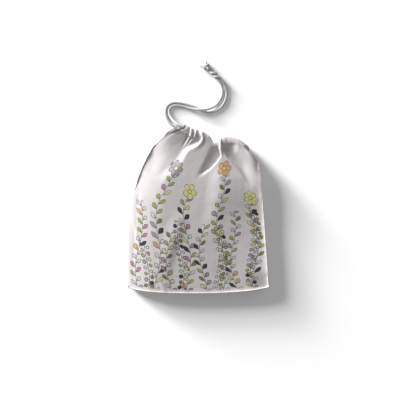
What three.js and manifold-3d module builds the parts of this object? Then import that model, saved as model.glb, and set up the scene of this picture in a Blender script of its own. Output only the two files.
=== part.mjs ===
// A drawstring bag: an unlined canvas pouch with its mouth drawn in, lying on its back.
// Two panels are sewn together along the sides and the bottom. The hem at the top of each
// panel is a channel, and one cord runs through both: it enters at the left, turns round
// at the right and comes back. Its two ends leave at the left, cross, twist together and
// are tied in one knot.
// Millimetres. X runs across the bag, +Y towards the mouth, +Z up from the surface that
// the bag lies on. The origin is under the middle of the bag.

import * as THREE from "three";
import { mergeVertices } from "three/addons/utils/BufferGeometryUtils.js";
import Module from "manifold-3d";

// Cloth
const clothThickness = 0.8;
const bagWidth = 238.5; // between the bottom corners of the filled bag
const bagLength = 269.2; // from the bottom corners to the cord's front exit
const bottomBow = 16; // how far the bottom seam is drawn out below its corners
const bottomLeftReach = 8; // where that starts, out from the left corner
const bottomRightReach = 31; // and in from the right corner
const leftBow = 8; // how far the left seam is drawn out above its bottom corner
const leftShoulder = 58; // how far it is drawn out below the mouth
const leftShoulderDrop = 16;
const rightTaper = 15.5; // how far the right seam leans in above its bottom corner
const rightShoulder = 24; // how far it is drawn out below the mouth
const rightShoulderDrop = 14;
const leftSeamHeight = 5.5; // the seams over the surface: the left side lies low,
const rightSeamHeight = 20; // the right side and the bottom are lifted by what is inside,
const shoulderHeight = 22; // and the right seam is highest below the mouth
const crestHeight = 24.7; // inside of the front panel over the surface, at its highest
const crestPlace = 0.4; // how far up and how far across the bag the crest starts
const leftSlope = 0.26; // share of the width that the rise from the left seam takes
const cornerSag = 4; // how far the lower right corner hangs below its seams
const cornerReach = 0.16; // share of the width and of the length that it takes
const neckStart = 0.62; // how far up the front panel starts to come down to its channel
const wallReach = 6; // how far in from the seams the back panel's wall stands
const sewnGap = 0.3; // clearance between pieces that are sewn or pressed together
const slitLength = 34; // open side slit below the cord's exit
const closedSideRise = 22; // how soon the panels part again at the closed end of the mouth
const seamAllowance = 8; // turned-in edge along the seams, inside the bag
const allowanceInset = 5; // from the seam to the turned-in edge
const allowanceThickness = 1;

// Cord
const cordDiameter = 4.5;
const cordPlay = 0.42; // room all round the cord in its channel
const cordTravel = 20; // how far the cord can still be drawn out
const exitStraight = 26; // straight stretch of each channel behind the exit
const twistTurns = 1;
const twistMargin = 0.07; // share of the twisted stretch that stays straight at each end

// Mouth
const exitSpacing = 13.5; // between the cord's two exits
const exitRise = 1.1; // how much higher the back exit is
const dipAcross = 52.5; // from the front exit to the dip in the mouth
const dipDown = 30.8;
const mouthSpan = 98.5; // from the front exit to the mouth's closed end
const mouthDrop = 32.3;
const mouthGap = 5; // open slot between the front and back channels
const hemWall = 1.2; // gathered cloth over the cord
const hemBagging = 2.3; // how much deeper than thick the channel is at the middle
const hemEndBagging = 0.4; // and at its exit and its turn
const ruffleSwell = 0.09; // the channel's gathers, as a share of its section
const rufflePitch = 10;
const pleatCount = 10; // small folds that run from the front channel into the panel
const pleatHeight = 1.6;
const scarpDrop = 6; // how far the cloth drops over each of the front panel's main folds
const facetDrop = 5;
const shoulderDrop = 4.5;
const tentDrop = 4.5;
const deepestSink = 6; // what the folds come near to where they meet

// Knot
const knotWrapRadius = 0.87 * cordDiameter; // of the middle line of each turn of cord
const socketDepth = 2.5; // how far the cords sit in the knot
const tipLength = 7;
const tipFlare = 1.25; // frayed end, as a share of the cord's diameter
const tipSpread = 0.76; // radians to each side

// The mouth's middle line: from the exits on the left, through a dip, to its closed end.
const frontExit = new THREE.Vector2(-25.5, bagLength / 2);
const backExit = frontExit.clone().add(new THREE.Vector2(-exitSpacing, exitRise));
const mouthDip = frontExit.clone().add(new THREE.Vector2(dipAcross, -dipDown));
const mouthEnd = frontExit.clone().add(new THREE.Vector2(mouthSpan, -mouthDrop));
const drawDirection = new THREE.Vector2(-0.906, 0.423).normalize();
const dipDirection = new THREE.Vector2(0.98, 0.2).normalize();
const mouthEndDirection = new THREE.Vector2(0.8, -0.6);
const bend = (share) => share * mouthSpan; // the reach of each bend's handle

const boreRadius = cordDiameter / 2 + cordPlay;
const channelHalfThickness = boreRadius + hemWall;
const channelReach = channelHalfThickness * (1 + ruffleSwell);
const backHeight = channelReach;
const frontHeight = backHeight + 2 * channelReach + mouthGap;
const turnRadius = (frontHeight - backHeight) / 2;
const restHeight = cordDiameter / 2 + 0.1;
const up = new THREE.Vector3(0, 0, 1);

const material = (color, roughness) =>
  new THREE.MeshStandardMaterial({ color, roughness, metalness: 0 });
const canvas = material(0xe4dfdc, 0.92);
const canvasInside = material(0xd8d2ce, 0.95);
const hem = material(0xe8e3e0, 0.92);
const cotton = material(0xefecea, 0.85);

const smooth = (low, high, x) => THREE.MathUtils.smoothstep(x, low, high);
const lift = (p, z) => new THREE.Vector3(p.x, p.y, z);
const aside = (direction) => new THREE.Vector2(-direction.y, direction.x);

// A closed mesh from points and triangles, turned so that its faces point out.
function closedMesh(name, points, triangles, finish) {
  let volume = 0;
  for (const [a, b, c] of triangles)
    volume += points[a].dot(new THREE.Vector3().crossVectors(points[b], points[c]));
  const facing = volume > 0 ? triangles : triangles.map(([a, b, c]) => [a, c, b]);
  const geometry = new THREE.BufferGeometry();
  geometry.setAttribute(
    "position",
    new THREE.Float32BufferAttribute(points.flatMap((p) => p.toArray()), 3),
  );
  geometry.setIndex(facing.flat());
  geometry.computeVertexNormals();
  const mesh = new THREE.Mesh(geometry, finish);
  mesh.name = name;
  return mesh;
}

// Channels

// The half depth of a channel, at share t of the way from its exit to the mouth's end.
const halfDepthAt = (t) =>
  channelHalfThickness + THREE.MathUtils.lerp(hemEndBagging, hemBagging, Math.sin(Math.PI * t));

// The plan of a channel's middle line: straight behind the exit, down into a dip and up.
function channelPlan(exit) {
  const straightEnd = exit.clone().addScaledVector(drawDirection, -exitStraight);
  const plan = new THREE.CurvePath();
  plan.add(new THREE.LineCurve(exit, straightEnd));
  plan.add(
    new THREE.CubicBezierCurve(
      straightEnd,
      straightEnd.clone().addScaledVector(drawDirection, -bend(0.18)),
      mouthDip.clone().addScaledVector(dipDirection, -bend(0.1)),
      mouthDip,
    ),
  );
  plan.add(
    new THREE.CubicBezierCurve(
      mouthDip,
      mouthDip.clone().addScaledVector(dipDirection, bend(0.16)),
      mouthEnd.clone().addScaledVector(mouthEndDirection, -bend(0.18)),
      mouthEnd,
    ),
  );
  return plan;
}

// Stations along a channel from its exit to halfway round the turn at the mouth's end.
// Each has a centre, a direction across the channel in plan, and one to its outer side.
function channelStations(plan, height, side) {
  const length = plan.getLength();
  const step = rufflePitch / 4;
  const count = Math.round(length / step);
  const stations = [];
  for (let i = 0; i <= count; i++) {
    const t = i / count;
    const along = plan.getTangentAt(t);
    stations.push({
      centre: lift(plan.getPointAt(t), height),
      across: lift(aside(along), 0),
      outer: up.clone().multiplyScalar(side),
      distance: t * length,
      share: t,
    });
  }
  const outward = lift(mouthEndDirection, 0);
  const turnSteps = 5;
  for (let i = 1; i <= turnSteps; i++) {
    const angle = (Math.PI / 2) * (i / turnSteps);
    const drop = turnRadius * (1 - Math.cos(angle)) - (i === turnSteps ? sewnGap / 2 : 0);
    stations.push({
      centre: lift(mouthEnd, height)
        .addScaledVector(outward, turnRadius * Math.sin(angle))
        .addScaledVector(up, -side * drop),
      across: lift(aside(mouthEndDirection), 0),
      outer: up.clone().multiplyScalar(side * Math.cos(angle)).addScaledVector(outward, Math.sin(angle)),
      distance: length + turnRadius * angle,
      share: 1,
    });
  }
  return stations;
}

// One ring of points round a station.
function ring(station, across, outer, sides) {
  return Array.from({ length: sides }, (_, k) => {
    const angle = (2 * Math.PI * k) / sides;
    return station.centre
      .clone()
      .addScaledVector(station.across, across * Math.cos(angle))
      .addScaledVector(station.outer, outer * Math.sin(angle));
  });
}

// The quads between neighbouring rings, as triangles, where ring i starts at point start + i * sides.
function skin(rings, sides, start) {
  const triangles = [];
  for (let i = 0; i + 1 < rings; i++)
    for (let k = 0; k < sides; k++) {
      const a = start + i * sides + k;
      const b = start + i * sides + ((k + 1) % sides);
      triangles.push([a, b, a + sides], [b, b + sides, a + sides]);
    }
  return triangles;
}

// A gathered tube of cloth with a round bore for the cord, open at both ends.
function channel(name, stations) {
  const sides = 12;
  const outerRings = stations.map((s) => {
    const swell = 1 + ruffleSwell * Math.cos((2 * Math.PI * s.distance) / rufflePitch);
    return ring(s, halfDepthAt(s.share) * swell, channelHalfThickness * swell, sides);
  });
  const boreRings = stations.map((s) => ring(s, boreRadius, boreRadius, sides));
  const points = [...outerRings.flat(), ...boreRings.flat()];
  const half = outerRings.length * sides;
  const triangles = skin(stations.length, sides, 0);
  for (const [a, b, c] of skin(stations.length, sides, half)) triangles.push([a, c, b]);
  for (const end of [0, stations.length - 1])
    for (let k = 0; k < sides; k++) {
      const a = end * sides + k;
      const b = end * sides + ((k + 1) % sides);
      const cap = [
        [a, half + a, b],
        [b, half + a, half + b],
      ];
      triangles.push(...(end === 0 ? cap : cap.map(([p, q, r]) => [p, r, q])));
    }
  return closedMesh(name, points, triangles, hem);
}

// A solid cord through a row of stations.
function cordThrough(name, stations) {
  const sides = 8;
  const points = stations.flatMap((s) => ring(s, cordDiameter / 2, cordDiameter / 2, sides));
  const triangles = skin(stations.length, sides, 0);
  for (const [end, centre] of [
    [0, points.length],
    [stations.length - 1, points.length + 1],
  ])
    for (let k = 0; k < sides; k++) {
      const a = end * sides + k;
      const b = end * sides + ((k + 1) % sides);
      triangles.push(end === 0 ? [centre, b, a] : [centre, a, b]);
    }
  points.push(stations[0].centre.clone(), stations.at(-1).centre.clone());
  return closedMesh(name, points, triangles, cotton);
}

const frontPlan = channelPlan(frontExit);
const backPlan = channelPlan(backExit);
const frontStations = channelStations(frontPlan, frontHeight, 1);
const backStations = channelStations(backPlan, backHeight, -1);

// Panels

// The edge of a panel along its channel, at share u of the way from the exit.
function channelEdge(plan, u) {
  const along = plan.getTangentAt(u);
  const reach = halfDepthAt(u) * (1 + ruffleSwell) + 3 * sewnGap;
  return plan.getPointAt(u).addScaledVector(aside(along), -reach);
}

// The corners of the panels, and the seams that both share up to the mouth.
const leftCorner = new THREE.Vector2(-bagWidth / 2, -bagLength / 2);
const rightCorner = leftCorner.clone().add(new THREE.Vector2(bagWidth, -1));
const leftSeamTop = channelEdge(frontPlan, 0).lerp(channelEdge(backPlan, 0), 0.5);
const rightSeamTop = channelEdge(frontPlan, 1);
const leftSeam = new THREE.CubicBezierCurve(
  leftCorner,
  leftCorner.clone().add(new THREE.Vector2(-leftBow, 0.63 * bagLength)),
  leftSeamTop.clone().add(new THREE.Vector2(-leftShoulder, -leftShoulderDrop)),
  leftSeamTop,
);
const rightSeam = new THREE.CubicBezierCurve(
  rightCorner,
  rightCorner.clone().add(new THREE.Vector2(-rightTaper, 0.93 * bagLength)),
  rightSeamTop.clone().add(new THREE.Vector2(rightShoulder, -rightShoulderDrop)),
  rightSeamTop,
);
const bottomSeam = new THREE.CubicBezierCurve(
  leftCorner,
  leftCorner.clone().add(new THREE.Vector2(-bottomLeftReach, -bottomBow)),
  rightCorner.clone().add(new THREE.Vector2(-bottomRightReach, -bottomBow)),
  rightCorner,
);

const seamLength = leftSeam.getLength();
const wallU = wallReach / bagWidth;
const wallV = wallReach / seamLength;

// How far a panel has left its seams for its own channel, from 0 to 1.
function neckShare(u, v) {
  const opening = THREE.MathUtils.lerp(slitLength, closedSideRise, u);
  return smooth(1 - opening / seamLength, 1, v);
}

// A panel's plan: a patch between the two side seams, the bottom seam and its channel.
function panelPlan(plan) {
  const topLeft = channelEdge(plan, 0);
  const topRight = channelEdge(plan, 1);
  const leftShift = topLeft.clone().sub(leftSeamTop);
  const rightShift = topRight.clone().sub(rightSeamTop);
  return (u, v) => {
    const left = leftSeam.getPointAt(v).addScaledVector(leftShift, neckShare(0, v));
    const right = rightSeam.getPointAt(v).addScaledVector(rightShift, neckShare(1, v));
    const rows = bottomSeam.getPointAt(u).lerp(channelEdge(plan, u), v);
    const corners = leftCorner
      .clone()
      .lerp(rightCorner, u)
      .lerp(topLeft.clone().lerp(topRight, u), v);
    return rows.add(left.lerp(right, u)).sub(corners);
  };
}

const frontPlanPoint = panelPlan(frontPlan);
const backPlanPoint = panelPlan(backPlan);

// The front panel's main folds. Along each line the cloth drops from its high side to the
// low one, on the line's right, and comes back to its level farther out. Places are shares
// of the bag's width and length from its middle. The flank, where it drops, and the reach,
// where it is level again, are shares of the width at the line's two ends.
const folds = [
  // the long fold from the exit's gathers to the left side
  {
    line: [[0.017, 0.445], [0.004, 0.395], [-0.057, 0.357], [-0.103, 0.294], [-0.207, 0.215], [-0.374, 0.149]],
    drop: scarpDrop,
    flank: [0.014, 0.075],
    reach: [0.067, 0.218],
  },
  // the face that falls to a broken edge below the mouth's dip
  {
    line: [[0.103, 0.426], [0.149, 0.323], [0.071, 0.251], [-0.039, 0.212]],
    drop: facetDrop,
    flank: [0.012, 0.02],
    reach: [0.1, 0.09],
  },
  // the edge of the right shoulder
  {
    line: [[0.346, 0.155], [0.267, 0.25], [0.2, 0.304], [0.172, 0.376], [0.175, 0.445]],
    drop: shoulderDrop,
    flank: [0.021, 0.1],
    reach: [0.126, 0.21],
  },
  // the slope below the dip, between the facet and the right side
  {
    line: [[0.172, 0.338], [0.175, 0.256], [0.153, 0.092], [0.132, -0.035]],
    drop: tentDrop,
    flank: [0.084, 0.109],
    reach: [0.294, 0.294],
  },
].map((fold) => ({
  ...fold,
  line: fold.line.map(([x, y]) => new THREE.Vector2(x * bagWidth, y * bagLength)),
}));

// How far a fold lowers the cloth at a place in plan.
function sink({ line, drop, flank, reach }, place) {
  let least = Infinity;
  let side = 0;
  let share = 0;
  for (let i = 0; i + 1 < line.length; i++) {
    const step = line[i + 1].clone().sub(line[i]);
    const off = place.clone().sub(line[i]);
    const t = THREE.MathUtils.clamp(off.dot(step) / step.lengthSq(), 0, 1);
    const distance = off.clone().addScaledVector(step, -t).length();
    if (distance >= least) continue;
    least = distance;
    side = step.cross(off);
    share = (i + t) / (line.length - 1);
  }
  if (side >= 0) return 0;
  const flankHere = THREE.MathUtils.lerp(...flank, share) * bagWidth;
  const reachHere = THREE.MathUtils.lerp(...reach, share) * bagWidth;
  const depth = drop * Math.sin(Math.PI * share);
  return depth * smooth(0, flankHere, least) * (1 - smooth(flankHere, reachHere, least));
}

// How much of the rise from the left seam is done, at share u across the bag.
const fromLeft = (u) => 1 - (1 - Math.min(1, u / leftSlope)) ** 2.2;

// How far the lower right corner hangs down.
const cornerDrop = (u, v) =>
  cornerSag * (1 - smooth(0, cornerReach, 1 - u)) * (1 - smooth(0, cornerReach, v));

// The height of the right seam, which comes down to the mouth's turn at its top.
function rightSeamAt(v) {
  const low = THREE.MathUtils.lerp(rightSeamHeight, shoulderHeight, smooth(0.45, 0.75, v));
  return THREE.MathUtils.lerp(low, (frontHeight + backHeight) / 2, smooth(0.8, 1, v));
}

// The height of the seams, on the left at u = 0, on the right at u = 1, at the bottom at v = 0.
const seamAt = (u, v) =>
  THREE.MathUtils.lerp(leftSeamHeight, rightSeamAt(v), fromLeft(u)) - cornerDrop(u, v);

// The inside face of the front panel: it rises from the left seam to a broad crest, meets
// the right and bottom seams almost level, and comes down in folds to its channel.
function frontInside(u, v) {
  const plan = frontPlanPoint(u, v);
  const toCrest = (1 - Math.min(1, v / crestPlace)) ** 1.3;
  const crest = THREE.MathUtils.lerp(crestHeight, rightSeamHeight, toCrest);
  const toRight = Math.max(0, (u - crestPlace) / (1 - crestPlace)) ** 1.2;
  const fromSeam = THREE.MathUtils.lerp(leftSeamHeight, crest, fromLeft(u));
  const swell = THREE.MathUtils.lerp(fromSeam, rightSeamAt(v), toRight) - cornerDrop(u, v);
  const inside = smooth(0, 0.15, u) * smooth(0, 0.15, 1 - u);
  const toChannel = THREE.MathUtils.lerp(neckShare(u, v), smooth(neckStart, 1, v), inside);
  const inChannel = frontHeight - clothThickness / 2;
  const level = THREE.MathUtils.lerp(swell + sewnGap / 2, inChannel, toChannel);
  const free = smooth(0, 0.06, u) * smooth(0, 0.06, 1 - u) * smooth(0, 0.06, v);
  const sunk = folds.reduce((sum, one) => sum + sink(one, plan), 0);
  const fold = deepestSink * Math.tanh(sunk / deepestSink) * free * (1 - smooth(0.88, 1, v));
  const gathered = smooth(0.8, 0.97, v) * smooth(0.02, 0.12, u) * (1 - smooth(0.4, 0.5, u));
  const pleat = pleatHeight * gathered * Math.cos(2 * Math.PI * pleatCount * u);
  return lift(plan, level - fold + pleat);
}

// The inside face of the back panel: flat on the surface, with a wall up to the seams.
function backInside(u, v) {
  const room = Math.min(u / wallU, (1 - u) / wallU, v / wallV, 1);
  const wall = THREE.MathUtils.lerp(seamAt(u, v) - sewnGap / 2, clothThickness, room);
  const inChannel = backHeight + clothThickness / 2;
  return lift(backPlanPoint(u, v), THREE.MathUtils.lerp(wall, inChannel, neckShare(u, v)));
}

// The unit normal of a face, on the side that points up.
function upNormal(face, u, v) {
  const d = 1e-3;
  const alongU = face(Math.min(1, u + d), v).sub(face(Math.max(0, u - d), v));
  const alongV = face(u, Math.min(1, v + d)).sub(face(u, Math.max(0, v - d)));
  const normal = alongU.cross(alongV).normalize();
  return normal.z < 0 ? normal.negate() : normal;
}

// Evenly spaced shares from low to high.
const spread = (low, high, count) =>
  Array.from({ length: count + 1 }, (_, i) => low + ((high - low) * i) / count);

// A sheet of even thickness between a face and its offset, over a grid of u and v shares.
// A negative thickness grows it downwards.
function sheet(name, face, thickness, finish, columns, rows) {
  const near = [];
  const far = [];
  for (const v of rows)
    for (const u of columns) {
      const point = face(u, v);
      near.push(point);
      far.push(point.clone().addScaledVector(upNormal(face, u, v), thickness));
    }
  const across = columns.length - 1;
  const along = rows.length - 1;
  const count = near.length;
  const at = (i, j) => j * (across + 1) + i;
  const triangles = [];
  for (let j = 0; j < along; j++)
    for (let i = 0; i < across; i++) {
      const [a, b, c, d] = [at(i, j), at(i + 1, j), at(i + 1, j + 1), at(i, j + 1)];
      triangles.push([a, b, c], [a, c, d]);
      triangles.push([count + a, count + c, count + b], [count + a, count + d, count + c]);
    }
  const rim = [
    ...Array.from({ length: across }, (_, i) => at(i, 0)),
    ...Array.from({ length: along }, (_, j) => at(across, j)),
    ...Array.from({ length: across }, (_, i) => at(across - i, along)),
    ...Array.from({ length: along }, (_, j) => at(0, along - j)),
  ];
  rim.forEach((a, k) => {
    const b = rim[(k + 1) % rim.length];
    triangles.push([a, count + a, b], [b, count + a, count + b]);
  });
  return closedMesh(name, [...near, ...far], triangles, finish);
}

// The turned-in edges lie against the front panel, inside the bag.
const underFrontPanel = (u, v) => {
  const point = frontInside(u, v);
  return point.addScaledVector(upNormal(frontInside, u, v), -1.4 * sewnGap);
};
const inset = [allowanceInset, allowanceInset + seamAllowance];
const insetU = inset.map((reach) => reach / bagWidth);
const insetV = inset.map((reach) => reach / seamLength);
const alongSide = (opening) =>
  spread((2 * allowanceInset + seamAllowance) / seamLength, 1 - (opening + allowanceInset) / seamLength, 18);
const allowance = (name, columns, rows) =>
  sheet(name, underFrontPanel, -allowanceThickness, canvasInside, columns, rows);

// Free cord

// Each point of a route is a place in plan from the front exit, then the share of the
// exit's height that is left, then the share of one cord's thickness that it climbs.
const frontRoute = [
  [0, 0, 1, 0],
  [-6, 2.8, 0.97, 0],
  [-12, 6.4, 0.8, 0],
  [-17.5, 11.4, 0.5, 0],
  [-21.9, 17.6, 0.2, 0],
  [-24.4, 24.2, 0.04, 0],
  [-24.1, 30.6, 0, 0],
  [-20.1, 35.4, 0, 0],
  [-13.5, 37.1, 0, 0],
  [-4.5, 36.2, 0, 0],
  [5.5, 33.8, 0, 0.05],
  [16.5, 31.1, 0, 0.5],
  [26, 29.8, 0, 0.98],
  [34, 29.6, 0, 1],
  [41.5, 30.8, 0, 0.72],
  [49, 33.8, 0, 0.25],
  [56, 39, 0, 0.03],
  [61.5, 45.8, 0, 0],
  [65.1, 53.4, 0, 0],
  [66.4, 61.2, 0, 0.02],
  [65.4, 68.2, 0, 0.25],
];
const backRoute = [
  [-13.5, 1.1, 1, 0],
  [-19.5, 4, 0.9, 0],
  [-24.7, 8.8, 0.5, 0],
  [-28.1, 14.8, 0.15, 0],
  [-30.2, 21.4, 0, 0],
  [-30.2, 29.4, 0, 0],
  [-27.2, 36.8, 0, 0],
  [-21.2, 41.2, 0, 0],
  [-13, 42.3, 0, 0],
  [-3.5, 41.3, 0, 0],
  [6.5, 38.9, 0, 0],
  [16, 36.1, 0, 0],
  [25.5, 32, 0, 0],
  [33.5, 28.1, 0, 0],
  [41.5, 25.5, 0, 0],
  [50, 26.1, 0, 0],
  [58, 29.6, 0, 0],
  [64.8, 35.4, 0, 0],
  [69.7, 43, 0, 0],
  [72.5, 51.4, 0, 0],
  [73.1, 60.2, 0, 0],
  [71.8, 68.8, 0, 0.2],
];
const twistStart = frontExit.clone().add(new THREE.Vector2(63, 78.2));
const twistEnd = frontExit.clone().add(new THREE.Vector2(43.1, 98.9));
const twistDirection = twistEnd.clone().sub(twistStart).normalize();
const twistRadius = (cordDiameter + sewnGap) / 2 + 0.2;
const twistHeight = restHeight + twistRadius;

// A point of a strand in the twist, where side is -1 for the strand over the bag.
function twistPoint(side, t) {
  const turn = 2 * Math.PI * twistTurns * smooth(twistMargin, 1 - twistMargin, t);
  return lift(twistStart.clone().lerp(twistEnd, t), twistHeight)
    .addScaledVector(lift(aside(twistDirection), 0), -side * twistRadius * Math.cos(turn))
    .addScaledVector(up, side * twistRadius * Math.sin(turn));
}

// The points of a free strand from its exit to the twist, which it joins end to end.
function strandPoints(route, exitHeight, side) {
  const points = route.map(([x, y, height, climb]) =>
    new THREE.Vector3(
      frontExit.x + x,
      frontExit.y + y,
      restHeight + height * (exitHeight - restHeight) + climb * (cordDiameter + 2 * sewnGap),
    ),
  );
  const join = twistPoint(side, 0);
  const back = lift(twistDirection, 0).negate();
  points.push(join.clone().addScaledVector(back, 3));
  points.push(join.clone().addScaledVector(back, 1.5 * sewnGap));
  points[0].addScaledVector(lift(drawDirection, 0), sewnGap);
  return points;
}

// A round cord along a curve.
function cordAlong(name, curve, steps, sides = 8) {
  const section = new THREE.Shape(
    Array.from({ length: sides }, (_, k) => {
      const angle = (2 * Math.PI * k) / sides;
      return new THREE.Vector2(Math.cos(angle), Math.sin(angle)).multiplyScalar(cordDiameter / 2);
    }),
  );
  const geometry = new THREE.ExtrudeGeometry(section, {
    steps,
    extrudePath: curve,
    bevelEnabled: false,
  });
  const mesh = new THREE.Mesh(geometry, cotton);
  mesh.name = name;
  return mesh;
}

// The straight inner end of a strand, which slides in its channel.
function lead(name, exit, height) {
  const outerEnd = lift(exit, height).addScaledVector(lift(drawDirection, 0), -sewnGap);
  const innerEnd = lift(exit, height).addScaledVector(
    lift(drawDirection, 0),
    -(cordTravel + cordDiameter / 2),
  );
  return cordAlong(name, new THREE.LineCurve3(outerEnd, innerEnd), 1);
}

function freeStrand(name, route, exitHeight, side) {
  const curve = new THREE.CatmullRomCurve3(strandPoints(route, exitHeight, side), false, "centripetal");
  return cordAlong(name, curve, 24);
}

function twistedStrand(name, side) {
  const points = Array.from({ length: 17 }, (_, i) => twistPoint(side, i / 16));
  return cordAlong(name, new THREE.CatmullRomCurve3(points, false, "centripetal"), 12);
}

// Knot

const wasm = await Module();
wasm.setup();

// A solid for joining and cutting, from a closed geometry.
function solid(geometry) {
  const bare = geometry.clone();
  bare.deleteAttribute("normal");
  bare.deleteAttribute("uv");
  const merged = mergeVertices(bare, 1e-4);
  return new wasm.Manifold(
    new wasm.Mesh({
      numProp: 3,
      vertProperties: Float32Array.from(merged.attributes.position.array),
      triVerts: Uint32Array.from(merged.index.array),
    }),
  );
}

function meshOf(name, shape, finish) {
  const { vertProperties, triVerts } = shape.getMesh();
  const geometry = new THREE.BufferGeometry();
  geometry.setAttribute("position", new THREE.BufferAttribute(vertProperties, 3));
  geometry.setIndex(new THREE.BufferAttribute(triVerts, 1));
  geometry.computeVertexNormals();
  const mesh = new THREE.Mesh(geometry, finish);
  mesh.name = name;
  return mesh;
}

// A round peg from a point along a direction, wider at its far end by the flare.
function peg(start, direction, length, radius, flare = 1, sides = 10) {
  const geometry = new THREE.CylinderGeometry(radius * flare, radius, length, sides);
  const turn = new THREE.Quaternion().setFromUnitVectors(new THREE.Vector3(0, 1, 0), direction);
  geometry.translate(0, length / 2, 0);
  geometry.applyQuaternion(turn);
  geometry.translate(start.x, start.y, start.z);
  return geometry;
}

const knotReach = knotWrapRadius + cordDiameter / 2;
const intoKnot = lift(twistDirection, 0);
const knotCentre = lift(twistEnd, Math.max(knotReach, twistHeight)).addScaledVector(
  intoKnot,
  knotReach - socketDepth,
);

// Three wraps of cord round a core, with a socket for each strand and each tip.
function knot(name, sockets) {
  const wraps = [
    [0.62, 0, 0],
    [-0.62, 0, 0.35],
    [Math.PI / 2, 0.5, 0],
  ];
  let shape = solid(new THREE.SphereGeometry(knotWrapRadius, 10, 8));
  for (const [x, y, z] of wraps) {
    const wrap = new THREE.TorusGeometry(knotWrapRadius, cordDiameter / 2, 8, 16);
    wrap.rotateY(Math.PI / 2);
    wrap.rotateZ(x);
    wrap.rotateY(y);
    wrap.rotateX(z);
    shape = shape.add(solid(wrap));
  }
  const turn = new THREE.Matrix4().makeRotationZ(Math.atan2(intoKnot.y, intoKnot.x));
  turn.setPosition(knotCentre);
  shape = shape.transform(turn.elements);
  for (const socket of sockets) shape = shape.subtract(solid(socket));
  return meshOf(name, shape, cotton);
}

// The two cut ends that stand out of the knot's far side, a little apart.
const tips = [1, -1].map((side) => {
  const direction = intoKnot.clone().applyAxisAngle(up, side * tipSpread);
  const start = knotCentre.clone().addScaledVector(direction, knotReach - socketDepth);
  return { start, direction };
});

const socketRadius = cordDiameter / 2 + 2.2 * sewnGap;
const strandSockets = [-1, 1].map((side) =>
  peg(
    twistPoint(side, 1).addScaledVector(intoKnot, -2 * socketDepth),
    intoKnot,
    2 * socketDepth + sewnGap,
    socketRadius,
  ),
);
const tipSockets = tips.map(({ start, direction }) =>
  peg(start.clone().addScaledVector(direction, -sewnGap), direction, tipLength + 2, socketRadius, tipFlare),
);

function tip(name, { start, direction }) {
  const mesh = new THREE.Mesh(peg(start, direction, tipLength, cordDiameter / 2, tipFlare), cotton);
  mesh.name = name;
  return mesh;
}

// Assembly

const heldCord = [
  ...frontStations.filter((s) => s.distance > exitStraight - sewnGap),
  ...backStations.filter((s) => s.distance > exitStraight - sewnGap).reverse(),
];

const bag = new THREE.Group();
bag.add(
  sheet("front_panel", frontInside, clothThickness, canvas, spread(0, 1, 4 * pleatCount), [
    ...spread(0, neckStart, 8),
    ...spread(neckStart, 1, 17).slice(1),
  ]),
  sheet(
    "back_panel",
    backInside,
    -clothThickness,
    canvas,
    [0, ...spread(wallU, 1 - wallU, 16), 1],
    [0, ...spread(wallV, 0.8, 10), ...spread(0.8, 1, 8).slice(1)],
  ),
  allowance("left_seam_allowance", insetU, alongSide(slitLength)),
  allowance("right_seam_allowance", insetU.map((u) => 1 - u).reverse(), alongSide(closedSideRise)),
  allowance("bottom_seam_allowance", spread(insetU[0], 1 - insetU[0], 20), insetV),
  channel("front_channel", frontStations),
  channel("back_channel", backStations),
  cordThrough("drawcord_in_channel", heldCord),
);

// The origin lies under the middle of the cloth.
const middle = new THREE.Box3().setFromObject(bag).getCenter(new THREE.Vector3());
bag.position.set(-middle.x, -middle.y, 0);

const cordEnds = new THREE.Group();
cordEnds.add(
  lead("drawcord_front_lead", frontExit, frontHeight),
  lead("drawcord_back_lead", backExit, backHeight),
  freeStrand("drawcord_front_strand", frontRoute, frontHeight, -1),
  freeStrand("drawcord_back_strand", backRoute, backHeight, 1),
  twistedStrand("drawcord_front_twist", -1),
  twistedStrand("drawcord_back_twist", 1),
  knot("end_knot", [...strandSockets, ...tipSockets]),
  tip("cord_tip_left", tips[0]),
  tip("cord_tip_right", tips[1]),
);
bag.add(cordEnds);

export default bag;
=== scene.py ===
"""A small cotton drawstring bag, lying on its back with its mouth drawn in by a cord.

Metres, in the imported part's frame: X runs across the bag, +Y towards its mouth and +Z up
from the surface it lies on.
"""

import logging
import math
from dataclasses import dataclass, field
from enum import Enum

import bpy
import numpy as np
from mathutils import Matrix, Vector


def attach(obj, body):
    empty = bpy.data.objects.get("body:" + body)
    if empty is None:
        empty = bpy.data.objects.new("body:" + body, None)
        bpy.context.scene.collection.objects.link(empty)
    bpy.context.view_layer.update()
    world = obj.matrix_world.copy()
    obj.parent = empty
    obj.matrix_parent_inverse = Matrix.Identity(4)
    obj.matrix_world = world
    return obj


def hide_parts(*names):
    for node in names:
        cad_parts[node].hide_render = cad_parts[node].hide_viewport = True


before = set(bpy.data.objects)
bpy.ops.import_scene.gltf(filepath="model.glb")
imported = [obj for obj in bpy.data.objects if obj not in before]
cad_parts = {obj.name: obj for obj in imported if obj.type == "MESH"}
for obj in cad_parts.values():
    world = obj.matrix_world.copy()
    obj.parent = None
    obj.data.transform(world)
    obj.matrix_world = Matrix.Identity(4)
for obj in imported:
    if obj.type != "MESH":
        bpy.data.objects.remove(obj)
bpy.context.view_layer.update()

log = logging.getLogger("drawstring_bag")

Array = np.ndarray
Piece = bpy.types.Object
Material = bpy.types.Material
Socket = bpy.types.NodeSocket
Colour = tuple[float, float, float, float]
Triple = tuple[float, float, float]
Pair = tuple[float, float]
Places = tuple[Pair, ...]
Numbers = tuple[float, ...]

MM = 0.001
UP = np.array([0.0, 0.0, 1.0])
GROUND_GAP = 0.15 * MM  # what lies on the surface is this far above it

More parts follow.
